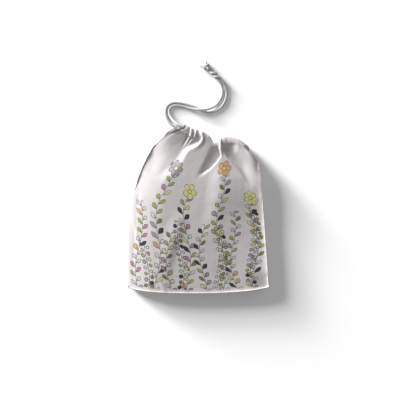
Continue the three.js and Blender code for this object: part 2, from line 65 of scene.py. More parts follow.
CORD_DIAMETER = 4.5 * MM
MIDDLE = np.array([0.353, 3.973]) * MM  # of the line between the bag's corners and its exit
FRONT_EXIT = np.append(MIDDLE, 0.0) + np.array([-25.5, 134.6, 17.66]) * MM
BACK_EXIT = np.append(MIDDLE, 0.0) + np.array([-39.0, 135.7, 4.22]) * MM
DRAW_DIRECTION = np.array([-0.9061, 0.4231, 0.0])

PIXEL = 1.70 * MM  # what one pixel of the photograph shows of the surface
PHOTO_COLUMN = 198.5  # the pixel that shows MIDDLE
PHOTO_ROW = 206.53


# Shapes in plan


def smooth(low: float, high: float, x: Array) -> Array:
    """Eases from 0 at low to 1 at high."""
    t = np.clip((np.asarray(x, float) - low) / (high - low), 0.0, 1.0)
    return t * t * (3.0 - 2.0 * t)


def mix(a: Array, b: Array, share: Array) -> Array:
    """Goes from a to b as share goes from 0 to 1."""
    return a + (b - a) * share


def bezier(points: list[Array], steps: int = 160) -> Array:
    """Samples a cubic Bezier curve.

    Args:
        points: Its four control points.
        steps: How many stretches it is divided into.

    Returns:
        The sampled points, one a row.
    """
    t = np.linspace(0.0, 1.0, steps + 1)[:, None]
    a, b, c, d = points
    return (1 - t) ** 3 * a + 3 * (1 - t) ** 2 * t * b + 3 * (1 - t) * t**2 * c + t**3 * d


def centripetal(points: Array, steps: int) -> Array:
    """Draws a centripetal Catmull-Rom curve through a row of points.

    Args:
        points: The points, one a row.
        steps: How many stretches are drawn between two neighbours.

    Returns:
        The drawn points, one a row.
    """
    ends = np.vstack([2 * points[0] - points[1], points, 2 * points[-1] - points[-2]])
    drawn = []
    for i in range(len(points) - 1):
        p = ends[i : i + 4]
        knots = np.concatenate([[0.0], np.cumsum(np.linalg.norm(np.diff(p, axis=0), axis=1) ** 0.5)])
        t = np.linspace(knots[1], knots[2], steps, endpoint=False)[:, None]
        k0, k1, k2, k3 = knots
        a = [(knots[j + 1] - t) / (knots[j + 1] - knots[j]) * p[j]
             + (t - knots[j]) / (knots[j + 1] - knots[j]) * p[j + 1] for j in range(3)]
        b0 = (k2 - t) / (k2 - k0) * a[0] + (t - k0) / (k2 - k0) * a[1]
        b1 = (k3 - t) / (k3 - k1) * a[1] + (t - k1) / (k3 - k1) * a[2]
        drawn.append((k2 - t) / (k2 - k1) * b0 + (t - k1) / (k2 - k1) * b1)
    return np.vstack([*drawn, points[-1:]])


class Line:
    """A line through points that is read by the share of its length."""

    def __init__(self, points: Array) -> None:
        """Measures the line along its points.

        Args:
            points: The points, one a row.
        """
        self.points = np.asarray(points, float)
        steps = np.linalg.norm(np.diff(self.points, axis=0), axis=1)
        self.along = np.concatenate([[0.0], np.cumsum(steps)])
        self.length = float(self.along[-1])

    def at(self, share: Array) -> Array:
        """The points at these shares of the length."""
        s = np.asarray(share, float) * self.length
        return np.stack([np.interp(s, self.along, column) for column in self.points.T], axis=-1)

    def direction(self, share: Array, reach: float = 2e-3) -> Array:
        """The unit directions at these shares of the length.

        Args:
            share: The shares.
            reach: How far to each side the line is read, as a share.

        Returns:
            The directions, one a row.
        """
        share = np.asarray(share, float)
        ahead = self.at(np.clip(share + reach, 0, 1)) - self.at(np.clip(share - reach, 0, 1))
        return ahead / np.linalg.norm(ahead, axis=-1, keepdims=True)

    def even(self, step: float) -> Array:
        """The line's points again, about step apart."""
        return self.at(np.linspace(0.0, 1.0, max(2, math.ceil(self.length / step) + 1)))


def aside(direction: Array) -> Array:
    """Plan directions turned a quarter turn to the left."""
    return np.stack([-direction[..., 1], direction[..., 0]], axis=-1)


def photo_place(column: float, row: float) -> Array:
    """The place in plan that a pixel of the photograph shows, in metres."""
    return MIDDLE + np.array([(column - PHOTO_COLUMN) * PIXEL, (PHOTO_ROW - row) * PIXEL])


# Small tools for meshes


def deselect() -> None:
    """Clears the selection, which holds the frame's nodes after loading."""
    if bpy.context.object and bpy.context.object.mode != "OBJECT":
        bpy.ops.object.mode_set(mode="OBJECT")
    bpy.ops.object.select_all(action="DESELECT")


def activate(piece: Piece) -> None:
    """Selects one piece alone and makes it the active one.

    Args:
        piece: The piece.
    """
    deselect()
    piece.select_set(True)
    bpy.context.view_layer.objects.active = piece


def mesh_piece(name: str, points: Array, faces: list[list[int]], layer: str, uv: Array) -> Piece:
    """Makes an object from points and faces, with flat places for its pattern.

    Args:
        name: The piece's name.
        points: Its points, one a row.
        faces: The point numbers of each face.
        layer: The name of the flat places.
        uv: A flat place for each corner of each face.

    Returns:
        The new object, active, at the origin.
    """
    mesh = bpy.data.meshes.new(name)
    mesh.from_pydata(points.tolist(), [], faces)
    places = mesh.uv_layers.new(name=layer)
    places.data.foreach_set("uv", uv.reshape(-1).astype(np.float32))
    mesh.update()
    piece = bpy.data.objects.new(name, mesh)
    bpy.context.collection.objects.link(piece)
    activate(piece)
    return piece


def turn_outwards() -> None:
    """Turns the faces of the active piece, which is closed, outwards."""
    bpy.ops.object.mode_set(mode="EDIT")
    bpy.ops.mesh.select_all(action="SELECT")
    bpy.ops.mesh.normals_make_consistent(inside=False)
    bpy.ops.object.mode_set(mode="OBJECT")


def grid_faces(rows: int, columns: int, ring: bool = False, start: int = 0) -> Array:
    """The quads of a grid of points that is stored row by row.

    Args:
        rows: How many rows of points there are.
        columns: How many points a row has.
        ring: Whether each row closes on itself.
        start: The number of the grid's first point.

    Returns:
        Four point numbers a row.
    """
    j, i = np.meshgrid(np.arange(rows - 1), np.arange(columns if ring else columns - 1), indexing="ij")
    a = j * columns + i
    b = j * columns + (i + 1) % columns
    return (np.stack([a, b, b + columns, a + columns], axis=-1) + start).reshape(-1, 4)


def grid_piece(name: str, points: Array, flat: Array, flip: bool = False) -> Piece:
    """Makes a smooth sheet from a grid of points.

    Args:
        name: The piece's name.
        points: The places, by row and column.
        flat: Where each point lies on the flat cloth.
        flip: Whether the faces are turned round.

    Returns:
        The new object.
    """
    faces = grid_faces(*points.shape[:2])
    if flip:
        faces = faces[:, ::-1]
    corners = flat.reshape(-1, 2)[faces]
    piece = mesh_piece(name, points.reshape(-1, 3), faces.tolist(), "cloth", corners)
    bpy.ops.object.shade_smooth()
    return piece


def solidify(piece: Piece, thickness: float) -> None:
    """Gives a sheet its thickness on its inner side and applies it.

    Args:
        piece: The sheet.
        thickness: How thick it becomes.
    """
    activate(piece)
    bpy.ops.object.modifier_add(type="SOLIDIFY")
    modifier = piece.modifiers[-1]
    modifier.thickness = thickness
    modifier.offset = -1.0
    modifier.use_even_offset = False
    bpy.ops.object.modifier_apply(modifier=modifier.name)


def finish_piece(piece: Piece, material: Material, body: str) -> Piece:
    """Dresses a piece and lets it ride on its body.

    Args:
        piece: The piece.
        material: What it is made of.
        body: The body's name.

    Returns:
        The same piece.
    """
    piece.data.materials.clear()
    piece.data.materials.append(material)
    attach(piece, body)
    log.info("%s: %d faces", piece.name, len(piece.data.polygons))
    return piece


# Finishes


class Shader:
    """A node tree's nodes, added one at a time."""

    def __init__(self, tree: bpy.types.NodeTree) -> None:
        """Starts on a node tree."""
        self.tree = tree

    def node(self, kind: str, settings: dict | None = None, **inputs: object) -> bpy.types.Node:
        """Adds a node.

        Args:
            kind: The node's type.
            settings: Its properties by name.
            **inputs: Its sockets by name, with _ for a space, or iN for a socket by number.

        Returns:
            The new node.
        """
        made = self.tree.nodes.new(kind)
        for key, value in (settings or {}).items():
            setattr(made, key, value)
        for key, value in inputs.items():
            numbered = key[0] == "i" and key[1:].isdigit()
            socket = made.inputs[int(key[1:])] if numbered else made.inputs[key.replace("_", " ")]
            if isinstance(value, Socket):
                self.tree.links.new(value, socket)
            else:
                socket.default_value = value
        return made

    def math(self, operation: str, a: object, b: object = 0.0, c: object = 0.0) -> Socket:
        """Adds a Math node and returns its value."""
        return self.node("ShaderNodeMath", {"operation": operation}, i0=a, i1=b, i2=c).outputs[0]

    def plus(self, a: object, b: object) -> Socket:
        """The sum of a and b."""
        return self.math("ADD", a, b)

    def minus(self, a: object, b: object) -> Socket:
        """What is left of a without b."""
        return self.math("SUBTRACT", a, b)

    def times(self, a: object, b: object) -> Socket:
        """The product of a and b."""
        return self.math("MULTIPLY", a, b)

    def scaled(self, a: object, factor: object, shift: object) -> Socket:
        """The value of a times a factor, plus a shift."""
        return self.math("MULTIPLY_ADD", a, factor, shift)

    def ratio(self, a: object, b: object) -> Socket:
        """How often b goes into a."""
        return self.math("DIVIDE", a, b)

    def within(self, limit: object, value: object, edge: float) -> Socket:
        """Goes from 1 to 0, over a soft edge, as a value passes a limit."""
        how, room = {"operation": "MULTIPLY_ADD", "use_clamp": True}, self.minus(limit, value)
        return self.node("ShaderNodeMath", how, i0=room, i1=1.0 / edge, i2=0.5).outputs[0]

    def blend(self, share: object, a: object, b: object, kind: str = "MIX") -> Socket:
        """Mixes the colour b into the colour a."""
        settings = {"data_type": "RGBA", "blend_type": kind}
        return self.node("ShaderNodeMix", settings, i0=share, i6=a, i7=b).outputs[2]

    def feed(self, node: bpy.types.Node, **sources: Socket) -> None:
        """Links sources to a node's sockets by name, with _ for a space."""
        for name, source in sources.items():
            self.tree.links.new(source, node.inputs[name.replace("_", " ")])

    def bump(self, height: Socket, strength: float = 1.0) -> Socket:
        """The normal of a surface with this relief, in metres."""
        return self.node("ShaderNodeBump", Strength=strength, Distance=1.0, Height=height).outputs[0]

    def split(self, vector: Socket) -> tuple[Socket, ...]:
        """The three parts of a vector."""
        return tuple(self.node("ShaderNodeSeparateXYZ", i0=vector).outputs)

    def noise(self, vector: Socket, scale: float, detail: float) -> Socket:
        """A noise value round 0.5."""
        return self.node("ShaderNodeTexNoise", Vector=vector, Scale=scale, Detail=detail).outputs["Fac"]

    def draw(self, number: Socket) -> Socket:
        """A random value from 0 to 1 for each whole number."""
        return self.node("ShaderNodeTexWhiteNoise", {"noise_dimensions": "1D"}, W=number).outputs["Value"]


class Group:
    """A node group that several materials or motifs share."""

    def __init__(self, name: str, takes: dict[str, str], gives: dict[str, str]) -> None:
        """Makes the group with its sockets.

        Args:
            name: The group's name.
            takes: The kind of each input by name.
            gives: The kind of each output by name.
        """
        self.tree = bpy.data.node_groups.new(name, "ShaderNodeTree")
        for label, kind in takes.items():
            self.tree.interface.new_socket(label, in_out="INPUT", socket_type=kind)
        for label, kind in gives.items():
            self.tree.interface.new_socket(label, in_out="OUTPUT", socket_type=kind)
        self.given = self.tree.nodes.new("NodeGroupInput").outputs
        self.result = self.tree.nodes.new("NodeGroupOutput")
        self.shader = Shader(self.tree)

    def use(self, shader: Shader, **inputs: object) -> bpy.types.Node:
        """Adds the group to a tree."""
        return shader.node("ShaderNodeGroup", {"node_tree": self.tree}, **inputs)


def new_material(name: str) -> tuple[Material, Shader, bpy.types.Node]:
    """Makes a material with a Principled shader.

    Args:
        name: The material's name.

    Returns:
        The material, its node tool and its Principled node.
    """
    material = bpy.data.materials.new(name)
    material.use_nodes = True
    return material, Shader(material.node_tree), material.node_tree.nodes["Principled BSDF"]


FLOAT, COLOUR, VECTOR = "NodeSocketFloat", "NodeSocketColor", "NodeSocketVector"


@dataclass(frozen=True)
class Weave:
    """Plain-weave cotton: even threads with slubs, painted shade between the threads, and creases from lying
    folded.
    """

    warp_pitch: float = 0.62 * MM
    weft_pitch: float = 0.70 * MM
    thread_height: float = 0.022 * MM
    crumple: float = 0.55 * MM
    crease: float = 0.12 * MM
    crumple_scale: float = 46.0
    crease_scale: float = 70.0
    streak_scale: Triple = (90.0, 900.0, 1.0)
    blotch_scale: float = 26.0
    shade: float = 0.895
    thread_shade: float = 0.05
    blotch_shade: float = 0.06
    roughness: float = 0.82

    def group(self) -> Group:
        """Makes the node group.

        Returns:
            The group, which gives a shade, a height and a roughness from a place on the flat cloth.
        """
        group = Group("plain_weave", {"Place": VECTOR}, {"Shade": FLOAT, "Height": FLOAT, "Roughness": FLOAT})
        s, place = group.shader, group.given["Place"]
        x, y, _ = s.split(place)
        across, up = s.ratio(x, self.warp_pitch), s.ratio(y, self.weft_pitch)
        warp = s.math("ABSOLUTE", s.math("SINE", s.times(across, math.pi)))
        weft = s.math("ABSOLUTE", s.math("SINE", s.times(up, math.pi)))
        column, row = s.math("FLOOR", across), s.math("FLOOR", up)
        parity = s.math("FLOORED_MODULO", s.plus(column, row), 2.0)
        over = s.times(warp, s.minus(1.0, parity))
        under = s.times(weft, parity)
        threads = s.plus(over, under)
        slubs = s.plus(s.draw(column), s.draw(s.plus(row, 0.5)))
        stretched = s.node("ShaderNodeMapping", Vector=place, Scale=self.streak_scale).outputs[0]
        streaks = s.noise(stretched, 1.0, 1.0)
        blotches = s.noise(place, self.blotch_scale, 3.0)
        shade = s.scaled(slubs, self.thread_shade, self.shade)
        # Painted shade: the crowns of the threads come out lighter and the gaps between them darker; slubs,
        # streaks and blotches are random tone.
        shade = s.scaled(threads, self.thread_shade, shade)
        shade = s.scaled(streaks, self.thread_shade, shade)
        shade = s.scaled(blotches, self.blotch_shade, s.minus(shade, 0.045))
        soft = s.times(s.noise(place, self.crumple_scale, 2.0), self.crumple)
        ridged = {"noise_type": "RIDGED_MULTIFRACTAL"}
        fine = s.node("ShaderNodeTexNoise", ridged, Vector=place, Scale=self.crease_scale, Detail=2.0)
        creases = s.times(fine.outputs["Fac"], self.crease)
        height = s.scaled(threads, self.thread_height, s.plus(soft, creases))
        roughness = s.scaled(blotches, 0.16, self.roughness)
        s.feed(group.result, Shade=shade, Height=height, Roughness=roughness)
        return group


# The print's inks on the cloth
INK = (0.058, 0.058, 0.064, 1.0)
BARE = (0.80, 0.78, 0.77, 1.0)


class Ink(Enum):
    """The colours that fill the printed shapes, with the share of the draws up to each."""

    BARE = (0.00, BARE)
    LEAF_GREEN = (0.27, (0.50, 0.53, 0.13, 1.0))
    MOSS = (0.43, (0.27, 0.29, 0.06, 1.0))
    ROSE = (0.51, (0.62, 0.30, 0.41, 1.0))
    BUTTER = (0.62, (0.84, 0.78, 0.36, 1.0))
    LILAC = (0.73, (0.47, 0.42, 0.47, 1.0))
    APRICOT = (0.82, (0.78, 0.48, 0.24, 1.0))
    CHARCOAL = (0.89, INK)


@dataclass(frozen=True)
class StemRow:
    """A row of printed stems, one in each band of the cloth, in millimetres.

    Attributes:
        spacing: The width of a band.
        offset: How far the bands are moved to the left.
        seed: Where the row's draws start.
        least: The height of the lowest stem.
        most: The height of the tallest one.
        pitch: The distance from one leaf, or row of berries, to the next.
        leaf: The length of a leaf, or how far a berry stands off.
        berries: Whether the stems carry berries and no leaves.
        bloom: The radius of the flowers at the tops, or 0.
    """

    spacing: float
    offset: float
    seed: float
    least: float
    most: float
    pitch: float
    leaf: float
    berries: bool = False
    bloom: float = 0.0


MEADOW = (
    StemRow(58.0, 34.0, 12.0, 128.0, 222.0, 16.0, 15.5, bloom=13.5),
    StemRow(56.0, 2.0, 45.0, 78.0, 190.0, 14.2, 13.5),
    StemRow(62.0, -8.0, 71.0, 60.0, 150.0, 9.4, 5.2, berries=True),
)


@dataclass(frozen=True)
class MeadowPrint:
    """The printed meadow: outlined leaves, berries and flowers in seven soft inks."""

    line: float = 0.95 * MM
    edge: float = 0.25 * MM
    wobble: float = 1.3 * MM
    sway: float = 6.5 * MM
    wave: float = 150.0 * MM
    low: float = 9.0 * MM
    cloth_middle: float = 0.127
    stem_reach: float = 0.121
    foot_shift: float = 7.0 * MM
    lean: float = 0.09
    stalk: float = 0.40 * MM
    vein: float = 0.22 * MM
    twig: float = 0.3 * MM
    leaf_slope: float = 44.0
    leaf_width: float = 0.24
    vein_length: float = 0.62
    heart: float = 0.26
    petal_crease: float = 0.8 * MM
    rows: tuple[StemRow, ...] = MEADOW

    def stem_group(self, row_kind: str) -> Group:
        """Makes the group of one kind of row.

        Args:
            row_kind: sprigs, blooms or berries.

        Returns:
            The group, which prints the stems over the cloth's colour.
        """
        numbers = ("Spacing", "Offset", "Seed", "Least", "Most", "Pitch", "Leaf", "Bloom")
        takes = {"Place": VECTOR, "Cloth": COLOUR, **dict.fromkeys(numbers, FLOAT)}
        group = Group(f"printed_{row_kind}", takes, {"Color": COLOUR})
        s, given = group.shader, group.given
        x, y, _ = s.split(given["Place"])
        band = s.math("FLOOR", s.ratio(s.plus(x, given["Offset"]), given["Spacing"]))
        number = s.plus(band, given["Seed"])
        draws = [s.draw(s.plus(number, shift)) for shift in (0.0, 131.5, 257.25)]
        tall = s.minus(given["Most"], given["Least"])
        height = s.scaled(tall, draws[0], given["Least"])
        centre = s.minus(s.times(s.plus(band, 0.5), given["Spacing"]), given["Offset"])
        from_middle = s.math("ABSOLUTE", s.minus(centre, self.cloth_middle))
        on_cloth = s.math("LESS_THAN", from_middle, self.stem_reach)
        foot = s.scaled(s.minus(draws[1], 0.5), self.foot_shift, centre)
        lean = s.times(s.minus(draws[2], 0.5), self.lean)
        phase = s.times(draws[1], 2 * math.pi)
        up = s.minus(y, self.low)

        def middle(at: Socket) -> Socket:
            """Where the stem is across the cloth at a height."""
            turn = s.scaled(at, 2 * math.pi / self.wave, phase)
            return s.scaled(s.math("SINE", turn), self.sway, s.scaled(lean, at, foot))

        off = s.minus(x, middle(up))
        side = s.math("GREATER_THAN", off, 0.0)
        off = s.math("ABSOLUTE", off)
        shifted = s.scaled(side, 0.5, s.ratio(up, given["Pitch"]))
        leaf_number = s.scaled(s.math("FLOOR", shifted), 2.0, side)
        draw = s.draw(s.scaled(number, 97.0, leaf_number))
        shape = self.berry if row_kind == "berries" else self.leaf
        ink, filled = shape(s, off, s.math("FRACT", shifted), given["Pitch"], given["Leaf"], draw)
        ink = s.math("MAXIMUM", ink, s.within(self.stalk, off, self.edge))
        drawn = s.times(s.math("GREATER_THAN", up, 0.0), s.math("LESS_THAN", up, height))
        drawn = s.times(drawn, on_cloth)
        colour = s.blend(s.times(filled, drawn), given["Cloth"], self.palette(s, draw))
        colour = s.blend(s.times(ink, drawn), colour, INK)
        if row_kind == "blooms":
            colour = self.bloom(s, group, colour, (x, up), (middle(height), height), draws, on_cloth)
        s.feed(group.result, Color=colour)
        return group

    def palette(self, s: Shader, draw: Socket) -> Socket:
        """The ink that a draw picks.

        Args:
            s: The node tool.
            draw: A random value.

        Returns:
            The ink's colour.
        """
        ramp = s.node("ShaderNodeValToRGB", Fac=draw)
        ramp.color_ramp.interpolation = "CONSTANT"
        inks = list(Ink)
        for element, ink in zip(ramp.color_ramp.elements, inks[:2]):
            element.position, element.color = ink.value
        for ink in inks[2:]:
            ramp.color_ramp.elements.new(ink.value[0]).color = ink.value[1]
        return ramp.outputs["Color"]

    def leaf(
        self, s: Shader, off: Socket, share: Socket, pitch: Socket, leaf: Socket, draw: Socket
    ) -> tuple[Socket, Socket]:
        """A leaf that points up and out from the stem, with its vein.

        Args:
            s: The node tool.
            off: How far from the stem the place is.
            share: How far through the leaf's stretch of the stem.
            pitch: The length of that stretch.
            leaf: The leaf's length.
            draw: The leaf's random value.

        Returns:
            Where its outline is and where its fill is.
        """
        step = s.times(s.minus(share, 0.10), pitch)
        slope = math.radians(self.leaf_slope)
        along = s.scaled(off, math.cos(slope), s.times(step, math.sin(slope)))
        wide = s.scaled(off, -math.sin(slope), s.times(step, math.cos(slope)))
        wide = s.math("ABSOLUTE", wide)
        size = s.times(leaf, s.scaled(draw, 0.25, 0.75))
        part = s.ratio(s.minus(along, 1.2 * MM), size)
        bulge = s.math("SINE", s.times(s.math("POWER", s.math("MAXIMUM", part, 0.0), 1.25), math.pi))
        half = s.times(s.times(bulge, size), self.leaf_width)
        between = s.times(s.math("GREATER_THAN", part, 0.0), s.math("LESS_THAN", part, 1.0))
        rim = s.math("ABSOLUTE", s.minus(wide, half))
        ink = s.within(self.line / 2, rim, self.edge)
        vein = s.within(self.vein, wide, self.edge)
        vein = s.times(vein, s.math("LESS_THAN", part, self.vein_length))
        filled = s.within(half, wide, self.edge)
        return s.times(s.math("MAXIMUM", ink, vein), between), s.times(filled, between)

    def berry(
        self, s: Shader, off: Socket, share: Socket, pitch: Socket, leaf: Socket, draw: Socket
    ) -> tuple[Socket, Socket]:
        """A round berry on a short twig.

        Args:
            s: The node tool.
            off: How far from the stem the place is.
            share: How far through the berry's stretch of the stem.
            pitch: The length of that stretch.
            leaf: How far the berry stands off.
            draw: The berry's random value.

        Returns:
            Where its outline is and where its fill is.
        """
        step = s.times(s.minus(share, 0.5), pitch)
        beside = s.minus(off, leaf)
        away = s.math("SQRT", s.plus(s.times(beside, beside), s.times(step, step)))
        size = s.times(leaf, s.scaled(draw, 0.2, 0.42))
        rim = s.math("ABSOLUTE", s.minus(away, size))
        ink = s.within(self.line / 2, rim, self.edge)
        twig = s.within(self.twig, s.math("ABSOLUTE", step), self.edge)
        twig = s.times(twig, s.math("LESS_THAN", off, s.minus(leaf, size)))
        return s.math("MAXIMUM", ink, twig), s.within(size, away, self.edge)

    def bloom(
        self, s: Shader, group: Group, colour: Socket, place: tuple[Socket, Socket],
        top: tuple[Socket, Socket], draws: list[Socket], on_cloth: Socket,
    ) -> Socket:
        """Lays a flower of round petals over the stem's top.

        Args:
            s: The node tool.
            group: The group that the flower is in.
            colour: The colour under the flower.
            place: Where the point is, across the cloth and up the stem.
            top: Where the stem's top is.
            draws: The stem's random values.
            on_cloth: 1 where the stem stands on the cloth.

        Returns:
            The colour with the flower.
        """
        dx, dy = (s.minus(a, b) for a, b in zip(place, top))
        away = s.math("SQRT", s.plus(s.times(dx, dx), s.times(dy, dy)))
        petals = s.plus(s.math("FLOOR", s.times(draws[2], 2.99)), 5.0)
        half_turn = s.times(s.times(s.math("ARCTAN2", dy, dx), petals), 0.5)
        lobe = s.math("ABSOLUTE", s.math("COSINE", half_turn))
        radius = s.times(group.given["Bloom"], s.scaled(draws[1], 0.3, 0.8))
        reach = s.times(radius, s.scaled(s.math("POWER", lobe, 0.6), 0.42, 0.58))
        rim = s.math("ABSOLUTE", s.minus(away, reach))
        heart = s.times(radius, self.heart)
        ring = s.math("ABSOLUTE", s.minus(away, heart))
        ink = s.within(self.line / 2, s.math("MINIMUM", rim, ring), self.edge)
        crease = s.within(self.petal_crease, s.times(lobe, away), self.edge)
        ink = s.math("MAXIMUM", ink, s.times(crease, s.math("LESS_THAN", away, reach)))
        petal = s.within(reach, away, self.edge)
        pick = s.scaled(draws[0], 0.38, 0.46)
        colour = s.blend(s.times(petal, on_cloth), colour, self.palette(s, pick))
        colour = s.blend(s.times(ink, on_cloth), colour, INK)
        middle = s.within(s.minus(heart, self.line / 2), away, self.edge)
        return s.blend(s.times(middle, on_cloth), colour, Ink.BUTTER.value[1])

    def over(self, shader: Shader, place: Socket, cloth: Socket) -> Socket:
        """Prints the meadow over a cloth's colour.

        Args:
            shader: The material's nodes.
            place: The place on the flat cloth.
            cloth: The cloth's own colour.

        Returns:
            The printed colour.
        """
        wobble = shader.node("ShaderNodeTexNoise", Vector=place, Scale=120.0, Detail=1.0).outputs["Color"]
        vectors = "ShaderNodeVectorMath"
        shift = shader.node(vectors, {"operation": "SUBTRACT"}, i0=wobble, i1=(0.5, 0.5, 0.5)).outputs[0]
        shift = shader.node(vectors, {"operation": "SCALE"}, Vector=shift, Scale=self.wobble).outputs[0]
        drawn_at = shader.node(vectors, {"operation": "ADD"}, i0=place, i1=shift).outputs[0]
        colour = cloth
        for row in self.rows:
            kind = "berries" if row.berries else "blooms" if row.bloom else "sprigs"
            colour = self.stem_group(kind).use(
                shader, Place=drawn_at, Cloth=colour, Spacing=row.spacing * MM, Offset=row.offset * MM,
                Seed=row.seed, Least=row.least * MM, Most=row.most * MM, Pitch=row.pitch * MM,
                Leaf=row.leaf * MM, Bloom=row.bloom * MM,
            ).outputs[0]
        return colour


@dataclass(frozen=True)
class Canvas:
    """Unbleached cotton canvas, plain or printed.

    Attributes:
        name: The material's name.
        colour: The cloth's own colour.
        printed: The print that it carries, or None.
        worn: What the colour is multiplied by where the cloth has warmed most.
        sheen: How strongly its fibres catch light at a low angle.
        seam: How wide the painted shade in the crease along a printed cloth's left seam is.
        seam_start: How far up the painted crease shade starts.
        seam_edge: How soft the painted shade's edge is.
        seam_shade_colour: The colour of the painted shade in the crease.
    """

    name: str
    colour: Colour = (0.86, 0.82, 0.825, 1.0)
    printed: MeadowPrint | None = None
    worn: Colour = (0.96, 0.945, 0.93, 1.0)
    sheen: float = 0.08
    seam: float = 2.6 * MM
    seam_start: float = 118 * MM
    seam_edge: float = 1.4 * MM
    seam_shade_colour: Colour = (0.20, 0.19, 0.19, 1.0)

    def material(self, weave: Group) -> Material:
        """Makes the material.

        Args:
            weave: The shared group of the cloth's threads.

        Returns:
            The material.
        """
        material, s, principled = new_material(self.name)
        place = s.node("ShaderNodeUVMap", {"uv_map": "cloth"}).outputs[0]
        threads = weave.use(s, Place=place).outputs
        warm = s.noise(place, 9.0, 2.0)
        cloth = s.blend(warm, self.colour, tuple(c * f for c, f in zip(self.colour, self.worn)))
        if self.printed:
            cloth = self.printed.over(s, place, cloth)
            # Painted shade: a dark band in the crease along the left seam, where the gap between the panels
            # lies in shade.
            across, up, _ = s.split(place)
            crease = s.ratio(s.minus(self.seam, across), self.seam_edge)
            crease = s.node("ShaderNodeClamp", Value=crease).outputs[0]
            crease = s.times(crease, s.math("GREATER_THAN", up, self.seam_start))
            cloth = s.blend(crease, cloth, self.seam_shade_colour)
        tone = threads["Shade"]
        shade = s.node("ShaderNodeCombineColor", Red=tone, Green=tone, Blue=tone)
        colour = s.blend(1.0, cloth, shade.outputs[0], "MULTIPLY")
        normal = s.bump(threads["Height"])
        s.feed(principled, Base_Color=colour, Roughness=threads["Roughness"], Normal=normal)
        principled.inputs["Sheen Weight"].default_value = self.sheen
        return material


@dataclass(frozen=True)
class CordCotton:
    """Soft twisted cotton, with painted shade in the grooves between its strands."""

    name: str = "cotton_cord"
    colour: Colour = (0.88, 0.865, 0.86, 1.0)
    groove: Colour = (0.56, 0.53, 0.53, 1.0)
    glow: float = 0.6
    glow_depth: float = 3.0 * MM
    strands: int = 3
    lay_length: float = 13.0 * MM
    fibres: float = 17.0
    fibre_lay: float = 5.2 * MM
    fibre_height: float = 0.09 * MM
    fuzz_scale: Triple = (9.0, 900.0, 1.0)
    roughness: float = 0.74

    def material(self) -> Material:
        """Makes the material.

        Returns:
            The material.
        """
        material, s, principled = new_material(self.name)
        lay = s.node("ShaderNodeUVMap", {"uv_map": "lay"}).outputs[0]
        around, along, _ = s.split(lay)
        strand = s.minus(around, s.ratio(along, self.lay_length))
        lobe = s.math("ABSOLUTE", s.math("COSINE", s.times(strand, self.strands * math.pi)))
        fibre = s.scaled(around, self.fibres, s.ratio(along, self.fibre_lay))
        fibre = s.math("SINE", s.times(fibre, 2 * math.pi))
        drawn_out = s.node("ShaderNodeMapping", Vector=lay, Scale=self.fuzz_scale).outputs[0]
        fuzz = s.noise(drawn_out, 1.0, 3.0)
        # Painted shade: the colour darkens towards the groove colour between the strands, with some random
        # fuzz in it.
        depth = s.math("POWER", s.minus(1.0, lobe), 2.5)
        colour = s.blend(s.scaled(depth, 0.8, s.times(fuzz, 0.12)), self.colour, self.groove)
        height = s.scaled(fibre, self.fibre_height / 2, s.times(fuzz, 2 * self.fibre_height))
        roughness = s.scaled(fuzz, 0.2, self.roughness)
        s.feed(principled, Base_Color=colour, Roughness=roughness, Normal=s.bump(height))
        principled.inputs["Subsurface Weight"].default_value = self.glow
        principled.inputs["Subsurface Radius"].default_value = (1.0, 1.0, 1.0)
        principled.inputs["Subsurface Scale"].default_value = self.glow_depth
        return material


@dataclass(frozen=True)
class Thread:
    """White sewing thread with its two plies, and painted shade between them."""

    name: str = "sewing_thread"
    light: Colour = (0.86, 0.85, 0.84, 1.0)
    ply_shade: Colour = (0.58, 0.56, 0.56, 1.0)
    plies: float = 2600.0
    relief: float = 0.06 * MM

    def material(self) -> Material:
        """Makes the material.

        Returns:
            The material.
        """
        material, s, principled = new_material(self.name)
        place = s.node("ShaderNodeTexCoord").outputs["Object"]
        x, y, _ = s.split(place)
        twist = s.math("SINE", s.times(s.plus(x, y), 2 * math.pi * self.plies))
        fuzz = s.noise(place, 3000.0, 2.0)
        # Painted shade: the colour darkens between the twisted plies, mixed with random fuzz.
        mask = s.scaled(twist, 0.3, s.times(fuzz, 0.6))
        colour = s.blend(s.node("ShaderNodeClamp", Value=mask).outputs[0], self.light, self.ply_shade)
        normal = s.bump(s.times(mask, self.relief), strength=0.6)
        s.feed(principled, Base_Color=colour, Roughness=s.scaled(fuzz, 0.2, 0.55), Normal=normal)
        return material


# The studio


@dataclass(frozen=True)
class Lamp:
    """One far, soft lamp.

    Attributes:
        name: Its name.
        azimuth: Where it stands, in degrees from +X towards +Y.
        elevation: How high it stands, in degrees.
        width: How wide it looks from the bag, in degrees.
        level: How bright a white face turned to it is.
    """

    name: str
    azimuth: float
    elevation: float
    width: float
    level: float

    def build(self) -> None:
        """Hangs the lamp."""
        turn, lift = math.radians(self.azimuth), math.radians(self.elevation)
        direction = Vector((math.cos(turn) * math.cos(lift), math.sin(turn) * math.cos(lift), math.sin(lift)))
        deselect()
        bpy.ops.object.light_add(type="SUN", location=direction)
        lamp = bpy.context.object
        lamp.name = self.name
        lamp.rotation_euler = direction.to_track_quat("Z", "Y").to_euler()
        lamp.data.angle = math.radians(self.width)
        lamp.data.energy = self.level * math.pi


